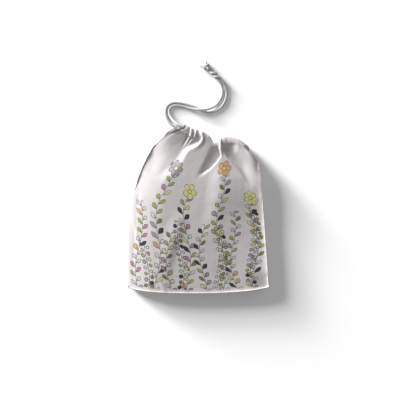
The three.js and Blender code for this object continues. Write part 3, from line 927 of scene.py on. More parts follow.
@dataclass
class Studio:
    """The camera straight above, the pale floor and the light from the upper left."""

    distance: float = 3.0
    view_width: float = 0.680
    view_centre: Pair = (0.00290, 0.01507)
    lamps: tuple[Lamp, ...] = (
        Lamp("key_low", 139.0, 8.5, 12.0, 0.90),
        Lamp("key_high", 141.0, 19.0, 23.0, 0.79),
        Lamp("fill", 50.0, 42.0, 60.0, 0.04),
    )
    ambient: float = 0.150
    floor_size: float = 8.0
    floor_level: float = 1.83
    floor_colour: Colour = (0.8, 0.8, 0.8, 1.0)
    sensor: float = 36.0

    def camera(self) -> None:
        """Makes the camera that looks straight down."""
        deselect()
        x, y = self.view_centre
        bpy.ops.object.camera_add(location=(x, y, self.distance), rotation=(0.0, 0.0, 0.0))
        camera = bpy.context.object
        camera.name = "camera"
        camera.data.sensor_width = self.sensor
        camera.data.lens = self.sensor * self.distance / self.view_width
        camera.data.clip_end = 20.0
        bpy.context.scene.camera = camera

    def floor(self) -> None:
        """Lays the floor."""
        deselect()
        bpy.ops.mesh.primitive_plane_add(size=self.floor_size, location=(0.0, 0.0, 0.0))
        floor = bpy.context.object
        floor.name = "floor"
        material, shader, _ = new_material("floor_paper")
        seen = shader.node("ShaderNodeLightPath").outputs["Is Camera Ray"]
        lit = shader.node("ShaderNodeBsdfDiffuse", Color=(*[self.floor_level] * 3, 1.0))
        plain = shader.node("ShaderNodeBsdfDiffuse", Color=self.floor_colour)
        both = shader.node("ShaderNodeMixShader", i0=seen, i1=plain.outputs[0], i2=lit.outputs[0])
        shader.feed(material.node_tree.nodes["Material Output"], Surface=both.outputs[0])
        floor.data.materials.append(material)

    def lights(self) -> None:
        """Hangs the lamps and sets the even light all round."""
        for lamp in self.lamps:
            lamp.build()
        world = bpy.data.worlds.new("studio_air")
        world.use_nodes = True
        background = world.node_tree.nodes["Background"]
        background.inputs["Color"].default_value = (1.0, 1.0, 1.0, 1.0)
        background.inputs["Strength"].default_value = self.ambient
        bpy.context.scene.world = world


# The cord


class Strand(Enum):
    """Which end of the cord a strand is."""

    FRONT = -1
    BACK = 1


# A place in plan from the front exit, the share of the exit's height that is left, and the
# share of one cord's thickness that it climbs.
ROUTES = {
    Strand.FRONT: [
        (0, 0, 1, 0), (-0.006, 0.0028, 0.97, 0), (-0.012, 0.0064, 0.8, 0),
        (-0.0175, 0.0114, 0.5, 0), (-0.0219, 0.0176, 0.2, 0), (-0.0244, 0.0242, 0.04, 0),
        (-0.0241, 0.0306, 0, 0), (-0.0201, 0.0354, 0, 0), (-0.0135, 0.0371, 0, 0),
        (-0.0045, 0.0362, 0, 0), (0.0055, 0.0338, 0, 0.05), (0.0165, 0.0311, 0, 0.5),
        (0.026, 0.0298, 0, 0.98), (0.034, 0.0296, 0, 1), (0.0415, 0.0308, 0, 0.72),
        (0.049, 0.0338, 0, 0.25), (0.056, 0.039, 0, 0.03), (0.0615, 0.0458, 0, 0),
        (0.0651, 0.0534, 0, 0), (0.0664, 0.0612, 0, 0.02), (0.0654, 0.0682, 0, 0.25),
    ],
    Strand.BACK: [
        (-0.0135, 0.0011, 1, 0), (-0.0195, 0.004, 0.9, 0), (-0.0247, 0.0088, 0.5, 0),
        (-0.0281, 0.0148, 0.15, 0), (-0.0302, 0.0214, 0, 0), (-0.0302, 0.0294, 0, 0),
        (-0.0272, 0.0368, 0, 0), (-0.0212, 0.0412, 0, 0), (-0.013, 0.0423, 0, 0),
        (-0.0035, 0.0413, 0, 0), (0.0065, 0.0389, 0, 0), (0.016, 0.0361, 0, 0),
        (0.0255, 0.032, 0, 0), (0.0335, 0.0281, 0, 0), (0.0415, 0.0255, 0, 0),
        (0.05, 0.0261, 0, 0), (0.058, 0.0296, 0, 0), (0.0648, 0.0354, 0, 0),
        (0.0697, 0.043, 0, 0), (0.0725, 0.0514, 0, 0), (0.0731, 0.0602, 0, 0),
        (0.0718, 0.0688, 0, 0.2),
    ],
}


@dataclass
class Drawcord:
    """The cotton cord: two free strands that twist together, and the stretch in the hems."""

    diameter: float = CORD_DIAMETER
    rest_height: float = CORD_DIAMETER / 2 + 0.1 * MM
    clearance: float = 0.3 * MM
    twist_start: Pair = (0.063, 0.0782)
    twist_end: Pair = (0.0431, 0.0989)
    twist_margin: float = 0.07
    twist_slack: float = 0.2 * MM
    twist_entry: float = 3.0 * MM
    held_start: float = 26.0 * MM
    lead: float = 22.25 * MM
    lay_length: float = 13.0 * MM
    threads: int = 3
    groove: float = 0.15
    roundness: float = 0.7
    taper_rings: float = 3.0
    sides: int = 24
    step: float = 0.9 * MM
    knot_entry: float = 3.0 * MM
    knot_centre: Triple = (0.0136, 0.2408, 0.0049)
    knot_loop: float = 1.5 * MM
    knot_stretch: float = 1.12
    knot_lift: float = 2.4 * MM
    fibres: int = 46
    fibre_radius: float = 0.17 * MM
    fray_length: float = 4.2 * MM
    tips: dict = field(default_factory=lambda: {
        "left": ((0.0115, 0.2418, 0.0052), (0.0080, 0.2428, 0.0062), (0.0048, 0.2424, 0.0040)),
        "right": ((0.0138, 0.2440, 0.0056), (0.0136, 0.2475, 0.0064), (0.0118, 0.2502, 0.0040)),
    })

    def twist_point(self, strand: Strand, share: Array) -> Array:
        """Places of a strand in the twist before the knot.

        Args:
            strand: Which end of the cord it is.
            share: How far along the twist, from 0 to 1.

        Returns:
            The places, one a row.
        """
        share = np.atleast_1d(np.asarray(share, float))
        start, end = FRONT_EXIT[:2] + self.twist_start, FRONT_EXIT[:2] + self.twist_end
        ahead = (end - start) / np.linalg.norm(end - start)
        radius = (self.diameter + self.clearance) / 2 + self.twist_slack
        turn = 2 * math.pi * smooth(self.twist_margin, 1 - self.twist_margin, share)
        side = strand.value
        plan = mix(start, end, share[:, None]) - side * radius * np.cos(turn)[:, None] * aside(ahead)
        height = self.rest_height + radius + side * radius * np.sin(turn)
        return np.column_stack([plan, height])

    def path(self, strand: Strand) -> Array:
        """The middle line of a strand, from inside its hem to the knot.

        Args:
            strand: Which end of the cord it is.

        Returns:
            The places along it, evenly spaced.
        """
        exit_height = FRONT_EXIT[2] if strand is Strand.FRONT else BACK_EXIT[2]
        route = np.array(ROUTES[strand])
        plan = FRONT_EXIT[:2] + route[:, :2]
        height = (
            self.rest_height
            + route[:, 2] * (exit_height - self.rest_height)
            + route[:, 3] * (self.diameter + 2 * self.clearance)
        )
        free = np.column_stack([plan, height])
        inner = free[0] - DRAW_DIRECTION * np.array([[self.lead], [self.lead / 2]])
        twist = self.twist_point(strand, np.linspace(0.0, 1.0, 17))
        ahead = np.append(np.subtract(self.twist_end, self.twist_start), 0.0)
        ahead /= np.linalg.norm(ahead)
        joined = twist[0] - ahead * self.twist_entry
        into_knot = twist[-1] + ahead * self.knot_entry
        points = np.vstack([inner, free, joined, twist, into_knot])
        return Line(centripetal(points, 12)).even(self.step)

    def held_path(self, rails: list["Rail"]) -> Array:
        """The middle line of the stretch in the hems, from the front one round to the back one."""
        forth, home = (rail.centre[rail.distance > self.held_start] for rail in rails)
        return Line(np.vstack([forth, home[::-1]])).even(self.step * 1.3)

    def tube(self, name: str, path: Array, taper: float = 0.0) -> Piece:
        """A twisted cord along a line, closed at both ends.

        Args:
            name: The piece's name.
            path: The middle line, evenly spaced.
            taper: How much the two ends narrow, as a share of the radius.

        Returns:
            The cord.
        """
        ahead = np.gradient(path, axis=0)
        ahead /= np.linalg.norm(ahead, axis=1, keepdims=True)
        side = np.zeros_like(path)
        side[0] = np.cross(ahead[0], UP)
        side[0] /= np.linalg.norm(side[0])
        for i in range(1, len(path)):
            turned = side[i - 1] - ahead[i] * side[i - 1].dot(ahead[i])
            side[i] = turned / np.linalg.norm(turned)
        rise = np.cross(side, ahead)
        along = Line(path).along
        angle = np.linspace(0.0, 2 * math.pi, self.sides, endpoint=False)
        lay = angle[None, :] - 2 * math.pi * along[:, None] / self.lay_length
        lobe = np.abs(np.cos(self.threads / 2 * lay)) ** self.roundness
        radius = self.diameter / 2 * (1 - self.groove + self.groove * lobe)
        close = np.minimum(np.arange(len(path)), np.arange(len(path))[::-1])
        radius = radius * (1 - taper * np.clip(1 - close / self.taper_rings, 0, 1) ** 2)[:, None]
        rings = (
            path[:, None, :]
            + radius[..., None] * np.cos(angle)[None, :, None] * side[:, None, :]
            + radius[..., None] * np.sin(angle)[None, :, None] * rise[:, None, :]
        )
        count = len(path) * self.sides
        points = np.vstack([rings.reshape(-1, 3), path[:1], path[-1:]])
        faces = grid_faces(len(path), self.sides, ring=True).tolist()
        last = (len(path) - 1) * self.sides
        for k in range(self.sides):
            after = (k + 1) % self.sides
            faces.append([count, after, k])
            faces.append([count + 1, last + k, last + after])
        around = np.append(np.tile(np.arange(self.sides), len(path)), [0, 0]) / self.sides
        down = np.append(np.repeat(along, self.sides), [along[0], along[-1]])
        flat = []
        for face in faces:
            turns = [around[p] for p in face]
            wraps = max(turns) - min(turns) > 0.5
            flat += [(t + 1.0 if wraps and t < 0.5 else t, down[p]) for t, p in zip(turns, face)]
        piece = mesh_piece(name, points, faces, "lay", np.array(flat))
        turn_outwards()
        bpy.ops.object.shade_smooth()
        return piece

    def build_free(self, material: Material, on_cord: list[object]) -> None:
        """Args:
            material: The cord's cotton.
            on_cord: The pieces at the cord's end; not used.
        """
        stands_for = {
            Strand.FRONT: ("drawcord_front_lead", "drawcord_front_strand", "drawcord_front_twist"),
            Strand.BACK: ("drawcord_back_lead", "drawcord_back_strand", "drawcord_back_twist"),
        }
        for strand, nodes in stands_for.items():
            path = self.path(strand)
            piece = self.tube(f"cord_{strand.name.lower()}", path)
            finish_piece(piece, material, "cord_ends")
            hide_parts(*nodes)
            log.info("%s is %.3f m long", piece.name, Line(path).length)

    def knot_path(self) -> Array:
        """The knot's loops, seen from above as three lobes round its middle.

        Returns:
            The places along them, evenly spaced.
        """
        t = np.linspace(0.0, 2 * math.pi, 90) + 0.6
        ahead = np.subtract(self.twist_end, self.twist_start)
        ahead /= np.linalg.norm(ahead)
        forth = self.knot_loop * self.knot_stretch * (np.sin(t) + 2 * np.sin(2 * t))
        over = self.knot_loop * (np.cos(t) - 2 * np.cos(2 * t))
        plan = forth[:, None] * ahead + over[:, None] * aside(ahead)
        height = -self.knot_lift * np.sin(3 * t)
        return Line(np.array(self.knot_centre) + np.column_stack([plan, height])).even(self.step / 2)

    def build_knot(self, material: Material) -> list[Piece]:
        """Makes the knot and the two frayed tips that come out of it.

        Args:
            material: The cord's cotton.

        Returns:
            The new pieces.
        """
        knot = self.tube("knot", self.knot_path())
        finish_piece(knot, material, "cord_ends")
        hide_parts("end_knot")
        pieces = [knot]
        for name, (start, middle, end) in self.tips.items():
            curve = bezier([np.array(place) for place in (start, middle, middle, end)], 40)
            path = Line(curve).even(self.step / 2)
            tip = self.tube(f"tip_{name}", path, taper=0.25)
            finish_piece(tip, material, "cord_ends")
            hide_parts(f"cord_tip_{name}")
            pieces += [tip, self.fray(f"fray_{name}", path, material)]
        return pieces

    def fray(self, name: str, path: Array, material: Material) -> Piece:
        """Makes the loose fibres at a tip.

        Args:
            name: The piece's name.
            path: The tip's middle line.
            material: The cord's cotton.

        Returns:
            The fibres as one piece.
        """
        draws = np.random.default_rng(len(name))
        ahead = path[-1] - path[-4]
        ahead /= np.linalg.norm(ahead)
        across = np.cross(ahead, UP)
        across /= np.linalg.norm(across)
        over = np.cross(across, ahead)
        share = np.linspace(0.0, 1.0, 5)[:, None]
        points, faces, flat = [], [], []
        for _ in range(self.fibres):
            turn, out = draws.uniform(0, 2 * math.pi), math.sqrt(draws.uniform(0.02, 1.0))
            aim = across * math.cos(turn) + over * math.sin(turn)
            foot = path[-1] - ahead * 0.6 * MM + aim * out * self.diameter * 0.36
            length = self.fray_length * draws.uniform(0.5, 1.0)
            curl = across * draws.uniform(-0.3, 0.3) + aim * out * 0.75
            line = foot + ahead * length * share + curl * length * share**1.6
            line[:, 2] = np.maximum(line[:, 2], 0.4 * MM)
            thick = self.fibre_radius * (1 - 0.7 * share)
            ring = [line + thick * (across * math.cos(a) + over * math.sin(a)) for a in (0.0, 2.094, 4.189)]
            start = len(points)
            points += list(np.stack(ring, axis=1).reshape(-1, 3))
            faces += grid_faces(5, 3, ring=True, start=start).tolist()
            faces += [[start + 2, start + 1, start], [start + 12, start + 13, start + 14]]
            flat += [(turn / 6.3, step * length) for step in share[:, 0] for _ in range(3)]
        corners = np.array([flat[p] for face in faces for p in face])
        piece = mesh_piece(name, np.array(points), faces, "lay", corners)
        turn_outwards()
        return finish_piece(piece, material, "cord_ends")

    def build_held(self, material: Material, rails: list["Rail"]) -> None:
        """Makes the stretch that lies in the hems.

        Args:
            material: The cord's cotton.
            rails: The front hem's rail and the back one's.
        """
        piece = self.tube("cord_in_hems", self.held_path(rails))
        finish_piece(piece, material, "bag")
        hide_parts("drawcord_in_channel")


# The bag's cloth


class Profile(Enum):
    """How a fold falls away from its line."""

    ROUND = "round"
    SHARP = "sharp"
    FLAT = "flat"

    def fall(self, x: Array) -> Array:
        """The share of the height that is left.

        Args:
            x: The share of the reach at each place.

        Returns:
            The height's share there.
        """
        rest = 1 - np.clip(x, 0.0, 1.0)
        if self is Profile.ROUND:
            return rest * rest * (3 - 2 * rest)
        return rest if self is Profile.FLAT else rest * rest


@dataclass(frozen=True)
class Trace:
    """Where places in plan lie from a line that is named by the photo's pixels.

    Attributes:
        distance: How far they are from the line.
        sided: More than 0 on the line's left, less than 0 on its right.
        share: How far along the line the nearest point is, counted in its places.
    """

    distance: Array
    sided: Array
    share: Array

    @classmethod
    def of(cls, places: Places, plan: Array, steps: int) -> "Trace":
        """Measures places in plan from a line.

        Args:
            places: Column and row of each place along the line.
            plan: The places to measure, in metres.
            steps: Stretches between two places, or 1 for straight ones.

        Returns:
            The measured places.
        """
        named = np.array([photo_place(*place) for place in places])
        fine = centripetal(named, steps) if steps > 1 else named
        best = np.full(plan.shape[:-1], np.inf)
        sided, share = np.zeros_like(best), np.zeros_like(best)
        for i in range(len(fine) - 1):
            step = fine[i + 1] - fine[i]
            t = np.clip(((plan - fine[i]) @ step) / (step @ step), 0.0, 1.0)
            off = plan - (fine[i] + t[..., None] * step)
            distance = np.linalg.norm(off, axis=-1)
            nearer = distance < best
            best = np.where(nearer, distance, best)
            sided = np.where(nearer, step[0] * off[..., 1] - step[1] * off[..., 0], sided)
            share = np.where(nearer, (i + t) / steps, share)
        return cls(best, sided, share)


@dataclass(frozen=True)
class Fold:
    """One ridge or hollow of the cloth.

    Attributes:
        places: Column and row of each place along its line.
        heights: How far it rises at each place, in millimetres, negative for a hollow.
        left: How far it reaches to the left of its line, in millimetres, at its two ends.
        right: How far it reaches to the right.
        left_profile: How it falls away on its left.
        right_profile: How it falls away on its right.
    """

    places: Places
    heights: Numbers
    left: Pair
    right: Pair
    left_profile: Profile = Profile.ROUND
    right_profile: Profile = Profile.ROUND

    def rise(self, plan: Array) -> Array:
        """How far the fold lifts the cloth.

        Args:
            plan: The places in plan.

        Returns:
            The rise at each place, in metres.
        """
        trace = Trace.of(self.places, plan, 6)
        last = len(self.places) - 1
        level = np.interp(trace.share, np.arange(last + 1), self.heights)
        along = trace.share / last
        left = self.left_profile.fall(trace.distance / (mix(*self.left, along) * MM))
        right = self.right_profile.fall(trace.distance / (mix(*self.right, along) * MM))
        return level * MM * np.where(trace.sided > 0, left, right)


@dataclass(frozen=True)
class Facet:
    """A flat face of cloth that falls from a soft crease to a broken edge.

    Attributes:
        crease: Column and row of the two ends of the crease it falls from.
        edge: Column and row of the places along its edge, which has the face on its right.
        slope: How far it falls for each unit of way from the crease.
        lips: How wide the cloth takes to rise again past the edge, by place, in millimetres.
        start: Between which places along the crease the face starts, in millimetres.
        softness: How round the crease is, in millimetres.
    """

    crease: tuple[Pair, Pair]
    edge: Places
    slope: float
    lips: Numbers
    start: Pair
    softness: float

    def rise(self, plan: Array) -> Array:
        """How far the face lowers the cloth.

        Args:
            plan: The places in plan.

        Returns:
            The rise at each place, in metres.
        """
        first, second = (photo_place(*place) for place in self.crease)
        ahead = (second - first) / np.linalg.norm(second - first)
        away = (plan - first) @ aside(ahead)
        soft = self.softness * MM
        depth = self.slope * soft * np.logaddexp(0.0, away / soft)
        depth = depth * smooth(*(s * MM for s in self.start), (plan - first) @ ahead)
        trace = Trace.of(self.edge, plan, 1)
        lip = np.interp(trace.share, np.arange(len(self.edge)), self.lips) * MM
        out = np.where(trace.sided < 0, 0.0, trace.distance / lip)
        return -depth * Profile.SHARP.fall(out)


@dataclass(frozen=True)
class Scarp:
    """A line along which the cloth drops from its high side to its low one.

    Attributes:
        places: Column and row of each place along the line, with the low side on its right.
        drops: How far it drops at each place, in millimetres.
        flank: How wide the drop is, in millimetres, at its two ends.
        reach: How far away the cloth is level again on the low side, in millimetres, at both ends.
        down: How it falls.
        back: How it comes back to its level.
    """

    places: Places
    drops: Numbers
    flank: Pair
    reach: Pair
    down: Profile = Profile.ROUND
    back: Profile = Profile.ROUND

    def rise(self, plan: Array) -> Array:
        """How far the scarp lowers the cloth.

        Args:
            plan: The places in plan.

        Returns:
            The rise at each place, in metres.
        """
        trace = Trace.of(self.places, plan, 6)
        last = len(self.places) - 1
        drop = np.interp(trace.share, np.arange(last + 1), self.drops)
        along = trace.share / last
        out = np.where(trace.sided < 0, trace.distance, 0.0) / MM
        flank, reach = mix(*self.flank, along), mix(*self.reach, along)
        down = 1 - self.down.fall(out / flank)
        return -drop * MM * down * self.back.fall((out - flank) / (reach - flank))


S, F = Profile.SHARP, Profile.FLAT

FRONT_FOLDS = {
    "left_wedge": Fold(
        ((190, 128), (187.6, 136), (185.4, 141), (182.6, 147)),
        (-0.8, -2.4, -2.6, 0), (8, 10), (2.4, 3), S,
    ),
    "first_ridge": Fold(
        ((191.8, 127), (190.8, 135), (188.4, 140), (184.5, 147)),
        (1.4, 2.8, 2.8, 0.5), (2.6, 3.2), (2.2, 3),
    ),
    "first_slot": Fold(((194.2, 127), (193.6, 134), (191.8, 139)), (-1.2, -2.2, -0.3), (1.8, 2), (1.8, 2)),
    "second_ridge": Fold(
        ((196.8, 127), (195.4, 135), (192.2, 140.4), (187.4, 146.4)),
        (1.2, 2.6, 2.8, 0.5), (2.6, 3.2), (2.2, 3),
    ),
    "second_slot": Fold(
        ((199.2, 127), (198.4, 134), (197.8, 139), (195.6, 143.4)),
        (-1.2, -2.4, -2.6, -0.5), (2.2, 2.4), (2.0, 2.4),
    ),
    "broad_scarp": Scarp(
        (
            (202.4, 134), (203.0, 139), (200.6, 144), (196.4, 147.8), (191.0, 150.6),
            (187.4, 154.4), (184.6, 160), (181.0, 166.4), (175.6, 173), (167.5, 180), (157, 188),
        ),
        (1.8, 4.2, 5.4, 6.0, 6.6, 7.2, 7.4, 7.2, 6.0, 3.6, 0.0),
        (4.6, 20),
        (34, 84),
    ),
    "broad_ridge": Fold(
        ((201.6, 127), (201.4, 134), (202.2, 139), (199.6, 144), (194.8, 147.6)),
        (1.2, 2.2, 2.0, 1.4, 0.4), (4, 9), (3.0, 3.6),
    ),
    "third_slot": Fold(((205.4, 128), (206.2, 134), (208, 137.5)), (-0.5, -1.0, 0), (2.4, 2.4), (2.4, 2.4)),
    "facet": Facet(
        ((213.6, 142.4), (199.6, 172)),
        (
            (213, 139), (216.0, 143.4), (220.0, 155.8), (215.2, 162.6), (210.0, 167.8),
            (203.0, 172.6), (195, 175.4),
        ),
        0.46,
        (2.0, 3.2, 2.6, 3.0, 3.6, 5.6, 10.0),
        (-4.0, 8.0),
        1.4,
    ),
    "narrow_ridge": Fold(
        ((220.6, 132), (220.2, 140), (220.6, 147), (221.6, 156)),
        (0.4, 2.2, 3.0, 0.4), (3.2, 3.4), (3.0, 3.2),
    ),
    "right_scarp": Scarp(
        (
            (249, 188), (243, 177), (237.4, 168.6), (231.6, 162.6), (226.9, 158), (224.2, 153),
            (223.2, 147), (223.4, 141), (225, 134),
        ),
        (0.0, 2.2, 4.6, 6.0, 6.8, 6.4, 4.4, 1.8, 0.3),
        (6.0, 15.0),
        (24, 27),
        S,
    ),
    "tent_west": Fold(
        ((221.6, 152), (223, 164), (222.6, 178), (220.6, 198), (214, 244)),
        (0.0, 2.2, 3.6, 3.4, 0.0), (90, 84), (24, 30),
    ),
    "right_lobe": Fold(
        ((250, 140), (256, 151), (259.5, 163), (262, 180), (263.5, 216)),
        (1.0, 3.2, 3.6, 2.6, 0.0), (9, 9), (26, 30), right_profile=F,
    ),
    "left_hollow": Fold(((170, 142), (160, 156), (150, 173)), (-0.6, -1.6, -0.4), (16, 14), (13, 10)),
    "long_ridge": Fold(
        ((186, 210), (178, 229), (172, 243), (168, 257), (166, 278)),
        (0, 1.5, 1.8, 1.5, 0.3), (18, 15), (24, 20),
    ),
    "left_crease": Fold(
        ((133, 212), (136.5, 232), (141.5, 250), (147, 264)), (0.2, 0.8, 0.6, 0), (4, 4), (6, 5)
    ),
    "edge_groove": Fold(
        ((138, 204), (134.8, 232), (133.4, 258), (133.8, 285)),
        (0, -0.4, -0.6, -0.3), (4.6, 4.6), (4.4, 4.4),
    ),
    "corner_crease": Fold(((157, 274), (162, 284), (167.5, 293)), (0, 0.7, 0.5), (2.6, 2.6), (3.4, 3.4)),
    "left_dent": Fold(((139, 188), (138, 202), (136, 214)), (0, -1.0, 0), (6, 6), (5, 5)),
}


@dataclass(frozen=True)
class Rail:
    """A hem's middle line with the directions across it and out of it, by share of its way.

    Attributes:
        distance: How far along the line each station is.
        centre: The stations' places.
        across: The direction across the hem, away from the bag.
        outer: The direction from the cord to the hem's outer face.
        share: How far along the mouth each station is, 1 all round the turn.
        turn: How far round the turn each station is.
    """

    distance: Array
    centre: Array
    across: Array
    outer: Array
    share: Array
    turn: Array

    def at(self, u: Array) -> tuple[Array, ...]:
        """Reads the rail.

        Args:
            u: The shares of the whole length.

        Returns:
            The centre, both directions and both shares there.
        """
        s = np.asarray(u, float) * self.distance[-1]
        columns = [
            np.stack([np.interp(s, self.distance, column) for column in table.T], axis=-1)
            for table in (self.centre, self.across, self.outer)
        ]
        shares = [np.interp(s, self.distance, values) for values in (self.share, self.turn)]
        return (*columns, *shares)


@dataclass
class BagPlan:
    """The bag's outline in plan, the heights of its seams and the line of its mouth."""

    width: float = 238.5 * MM
    length: float = 269.2 * MM
    flat_width: float = 254.0 * MM
    flat_length: float = 286.0 * MM
    bottom_bow: float = 16.0 * MM
    bottom_left_reach: float = 8.0 * MM
    bottom_right_reach: float = 31.0 * MM
    left_bow: float = 8.0 * MM
    left_shoulder: float = 58.0 * MM
    left_shoulder_drop: float = 16.0 * MM
    right_taper: float = 15.5 * MM
    right_shoulder: float = 24.0 * MM
    right_shoulder_drop: float = 14.0 * MM
    exit_straight: float = 26.0 * MM
    dip: Pair = (52.5 * MM, -30.8 * MM)
    mouth_end: Pair = (98.5 * MM, -32.3 * MM)
    dip_direction: Pair = (0.9798, 0.2)
    end_direction: Pair = (0.8, -0.6)
    turn_radius: float = 6.72 * MM
    slit_length: float = 34.0 * MM
    rim: float = 0.8 * MM
    shoulder_rim: float = 5.2 * MM
    shoulder_start: Pair = (0.50, 0.62)
    shoulder_stop: Pair = (0.82, 0.94)
    left_height: float = 5.5 * MM
    right_height: float = 21.5 * MM
    shoulder_height: float = 25.5 * MM
    right_rise: Pair = (0.45, 0.75)
    mouth_start: float = 0.89
    corner_sag: float = 4.0 * MM
    corner_reach: float = 0.16
    left_slope: float = 0.26
    hem_thickness: float = 4.6 * MM
    end_bulge: float = 2.6 * MM
    hem_start: float = 0.52 * math.pi
    hem_inside: Pair = (5.6 * MM, 7.5 * MM)
    hem_stations: Numbers = (0.0, 0.14, 0.28, 0.40, 0.48, 0.566, 0.655, 0.73, 0.84, 0.957, 1.0)
    front_drops: Numbers = (4.3, 4.0, 7.0, 9.0, 7.6, 5.8, 9.0, 11.0, 9.4, 7.6, 6.6)
    back_drops: Numbers = (4.3, 4.0, 5.0, 5.4, 5.4, 5.2, 5.6, 6.0, 6.4, 6.4, 6.4)
    seam_end: float = 0.06

    def mouth_line(self, exit_point: Array) -> Line:
        """The plan of a hem's middle line.

        Args:
            exit_point: Where the cord leaves the hem.

        Returns:
            The line from there to the mouth's closed end.
        """
        span = self.mouth_end[0]
        start = exit_point[:2]
        draw = DRAW_DIRECTION[:2]
        straight_end = start - draw * self.exit_straight
        dip = FRONT_EXIT[:2] + self.dip
        end = FRONT_EXIT[:2] + self.mouth_end
        dip_ahead = np.array(self.dip_direction)
        end_ahead = np.array(self.end_direction)
        first = [straight_end, straight_end - draw * 0.18 * span, dip - dip_ahead * 0.10 * span, dip]
        second = [dip, dip + dip_ahead * 0.16 * span, end - end_ahead * 0.18 * span, end]
        return Line(np.vstack([start, bezier(first), bezier(second)[1:]]))

    def rail(self, exit_point: Array, side: int, along: int = 300, turning: int = 40) -> Rail:
        """Stations along a hem and round its quarter turn at the closed end.

        Args:
            exit_point: Where the cord leaves the hem.
            side: 1 for the front hem, -1 for the back one.
            along: How many stations lie along the mouth.
            turning: How many lie in the turn.

        Returns:
            The hem's rail.
        """
        line = self.mouth_line(exit_point)
        share = np.linspace(0.0, 1.0, along)
        ahead = line.direction(share)
        centre = np.column_stack([line.at(share), np.full(along, exit_point[2])])
        angle = np.linspace(0.0, math.pi / 2, turning + 1)[1:, None]
        outward = np.append(self.end_direction, 0.0)
        turned = (
            centre[-1]
            + outward * self.turn_radius * np.sin(angle)
            - UP * side * self.turn_radius * (1 - np.cos(angle))
        )
        end_across = np.append(aside(np.array(self.end_direction)), 0.0)
        return Rail(
            distance=np.concatenate([share * line.length, line.length + self.turn_radius * angle[:, 0]]),
            centre=np.vstack([centre, turned]),
            across=np.vstack([
                np.column_stack([aside(ahead), np.zeros(along)]),
                np.tile(end_across, (turning, 1)),
            ]),
            outer=np.vstack([
                np.tile(UP * side, (along, 1)),
                UP * side * np.cos(angle) + outward * np.sin(angle),
            ]),
            share=np.concatenate([share, np.ones(turning)]),
            turn=np.concatenate([np.zeros(along), angle[:, 0] / (math.pi / 2)]),
        )

    def hem_section(self, angle: Array, share: Array, turn: Array, side: int) -> tuple[Array, Array]:
        """The hem's outer face in section.

        Args:
            angle: The place round the cord, 0 at the mouth's edge and a half turn at the bag.
            share: How far along the mouth it is.
            turn: How far round the turn at the closed end it is.
            side: 1 for the front hem, -1 for the back one.

        Returns:
            How far across the hem and how far out of it the face lies.
        """
        inside = mix(*self.hem_inside, np.sin(math.pi * share))
        drops = self.front_drops if side > 0 else self.back_drops
        outside = np.interp(share, self.hem_stations, drops) * MM
        middle, reach = (outside - inside) / 2, (outside + inside) / 2
        thickness = self.hem_thickness + self.end_bulge * smooth(0.0, 1.0, turn)
        return middle + reach * np.cos(angle), thickness * np.sin(angle)

    def hem_edge(self, rail: Rail, u: Array, side: int) -> Array:
        """Where a panel meets its hem.

        Args:
            rail: The hem's rail.
            u: Share of the way across the cloth.
            side: 1 for the front hem, -1 for the back one.

        Returns:
            The places.
        """
        centre, across, outer, share, turn = rail.at(u)
        a, h = self.hem_section(np.full_like(share, self.hem_start), share, turn, side)
        return centre + across * a[..., None] + outer * h[..., None]

    def corners(self) -> tuple[Array, Array]:
        """The bottom corners, left and right."""
        left = MIDDLE - np.array([self.width, self.length]) / 2
        return left, left + np.array([self.width, -1.0 * MM])

    def seams(self) -> tuple[Line, Line, Line]:
        """The seams in plan, drawn in by the back panel's rim.

        Returns:
            The left, right and bottom seams.
        """
        front, back = self.rail(FRONT_EXIT, 1), self.rail(BACK_EXIT, -1)
        zero, one = np.array(0.0), np.array(1.0)
        left_top = (self.hem_edge(front, zero, 1) + self.hem_edge(back, zero, -1))[:2] / 2
        right_top = self.hem_edge(front, one, 1)[:2]
        left_corner, right_corner = self.corners()
        left = Line(bezier([
            left_corner,
            left_corner + [-self.left_bow, 0.63 * self.length],
            left_top + [-self.left_shoulder, -self.left_shoulder_drop],
            left_top,
        ]))
        right = Line(bezier([
            right_corner,
            right_corner + [-self.right_taper, 0.786 * self.length],
            right_top + [self.right_shoulder, -self.right_shoulder_drop],
            right_top,
        ]))
        bottom = Line(bezier([
            left_corner,
            left_corner + [-self.bottom_left_reach, -self.bottom_bow],
            right_corner + [-self.bottom_right_reach, -self.bottom_bow],
            right_corner,
        ]))
        t = np.linspace(0.0, 1.0, 241)
        ends = smooth(0.0, self.seam_end, t) * smooth(0.0, self.seam_end, 1 - t)
        return (
            Line(left.at(t) - aside(left.direction(t)) * (self.left_rim(t) * ends)[:, None]),
            Line(right.at(t) + aside(right.direction(t)) * (self.rim * ends)[:, None]),
            Line(bottom.at(t) + aside(bottom.direction(t)) * (self.rim * ends)[:, None]),
        )

    def left_rim(self, v: Array) -> Array:
        """How far the back panel stands out past the left seam."""
        out = smooth(*self.shoulder_start, v) * (1 - smooth(*self.shoulder_stop, v))
        return mix(self.rim, self.shoulder_rim, out)

    def corner_drop(self, u: Array, v: Array) -> Array:
        """How far the lower right corner hangs below its seams."""
        from_right, from_bottom = (smooth(0.0, self.corner_reach, way) for way in (1 - u, v))
        return self.corner_sag * (1 - from_right) * (1 - from_bottom)

    def from_left(self, u: Array) -> Array:
        """The share of the rise from the left seam that is done."""
        return 1 - (1 - np.clip(u / self.left_slope, 0, 1)) ** 1.9

    def left_seam_height(self, v: Array) -> Array:
        """How high the left seam lies."""
        return self.left_height + 0 * v

    def right_seam_height(self, v: Array) -> Array:
        """How high the right seam lies, up to the middle of the hem's turn.

        Args:
            v: Share of the way up the cloth.

        Returns:
            The height.
        """
        top = (FRONT_EXIT[2] + BACK_EXIT[2]) / 2
        low = self.right_height - self.corner_drop(np.ones_like(v), v)
        low = mix(low, self.shoulder_height, smooth(*self.right_rise, v))
        return mix(low, top, smooth(self.mouth_start, 1.0, v))

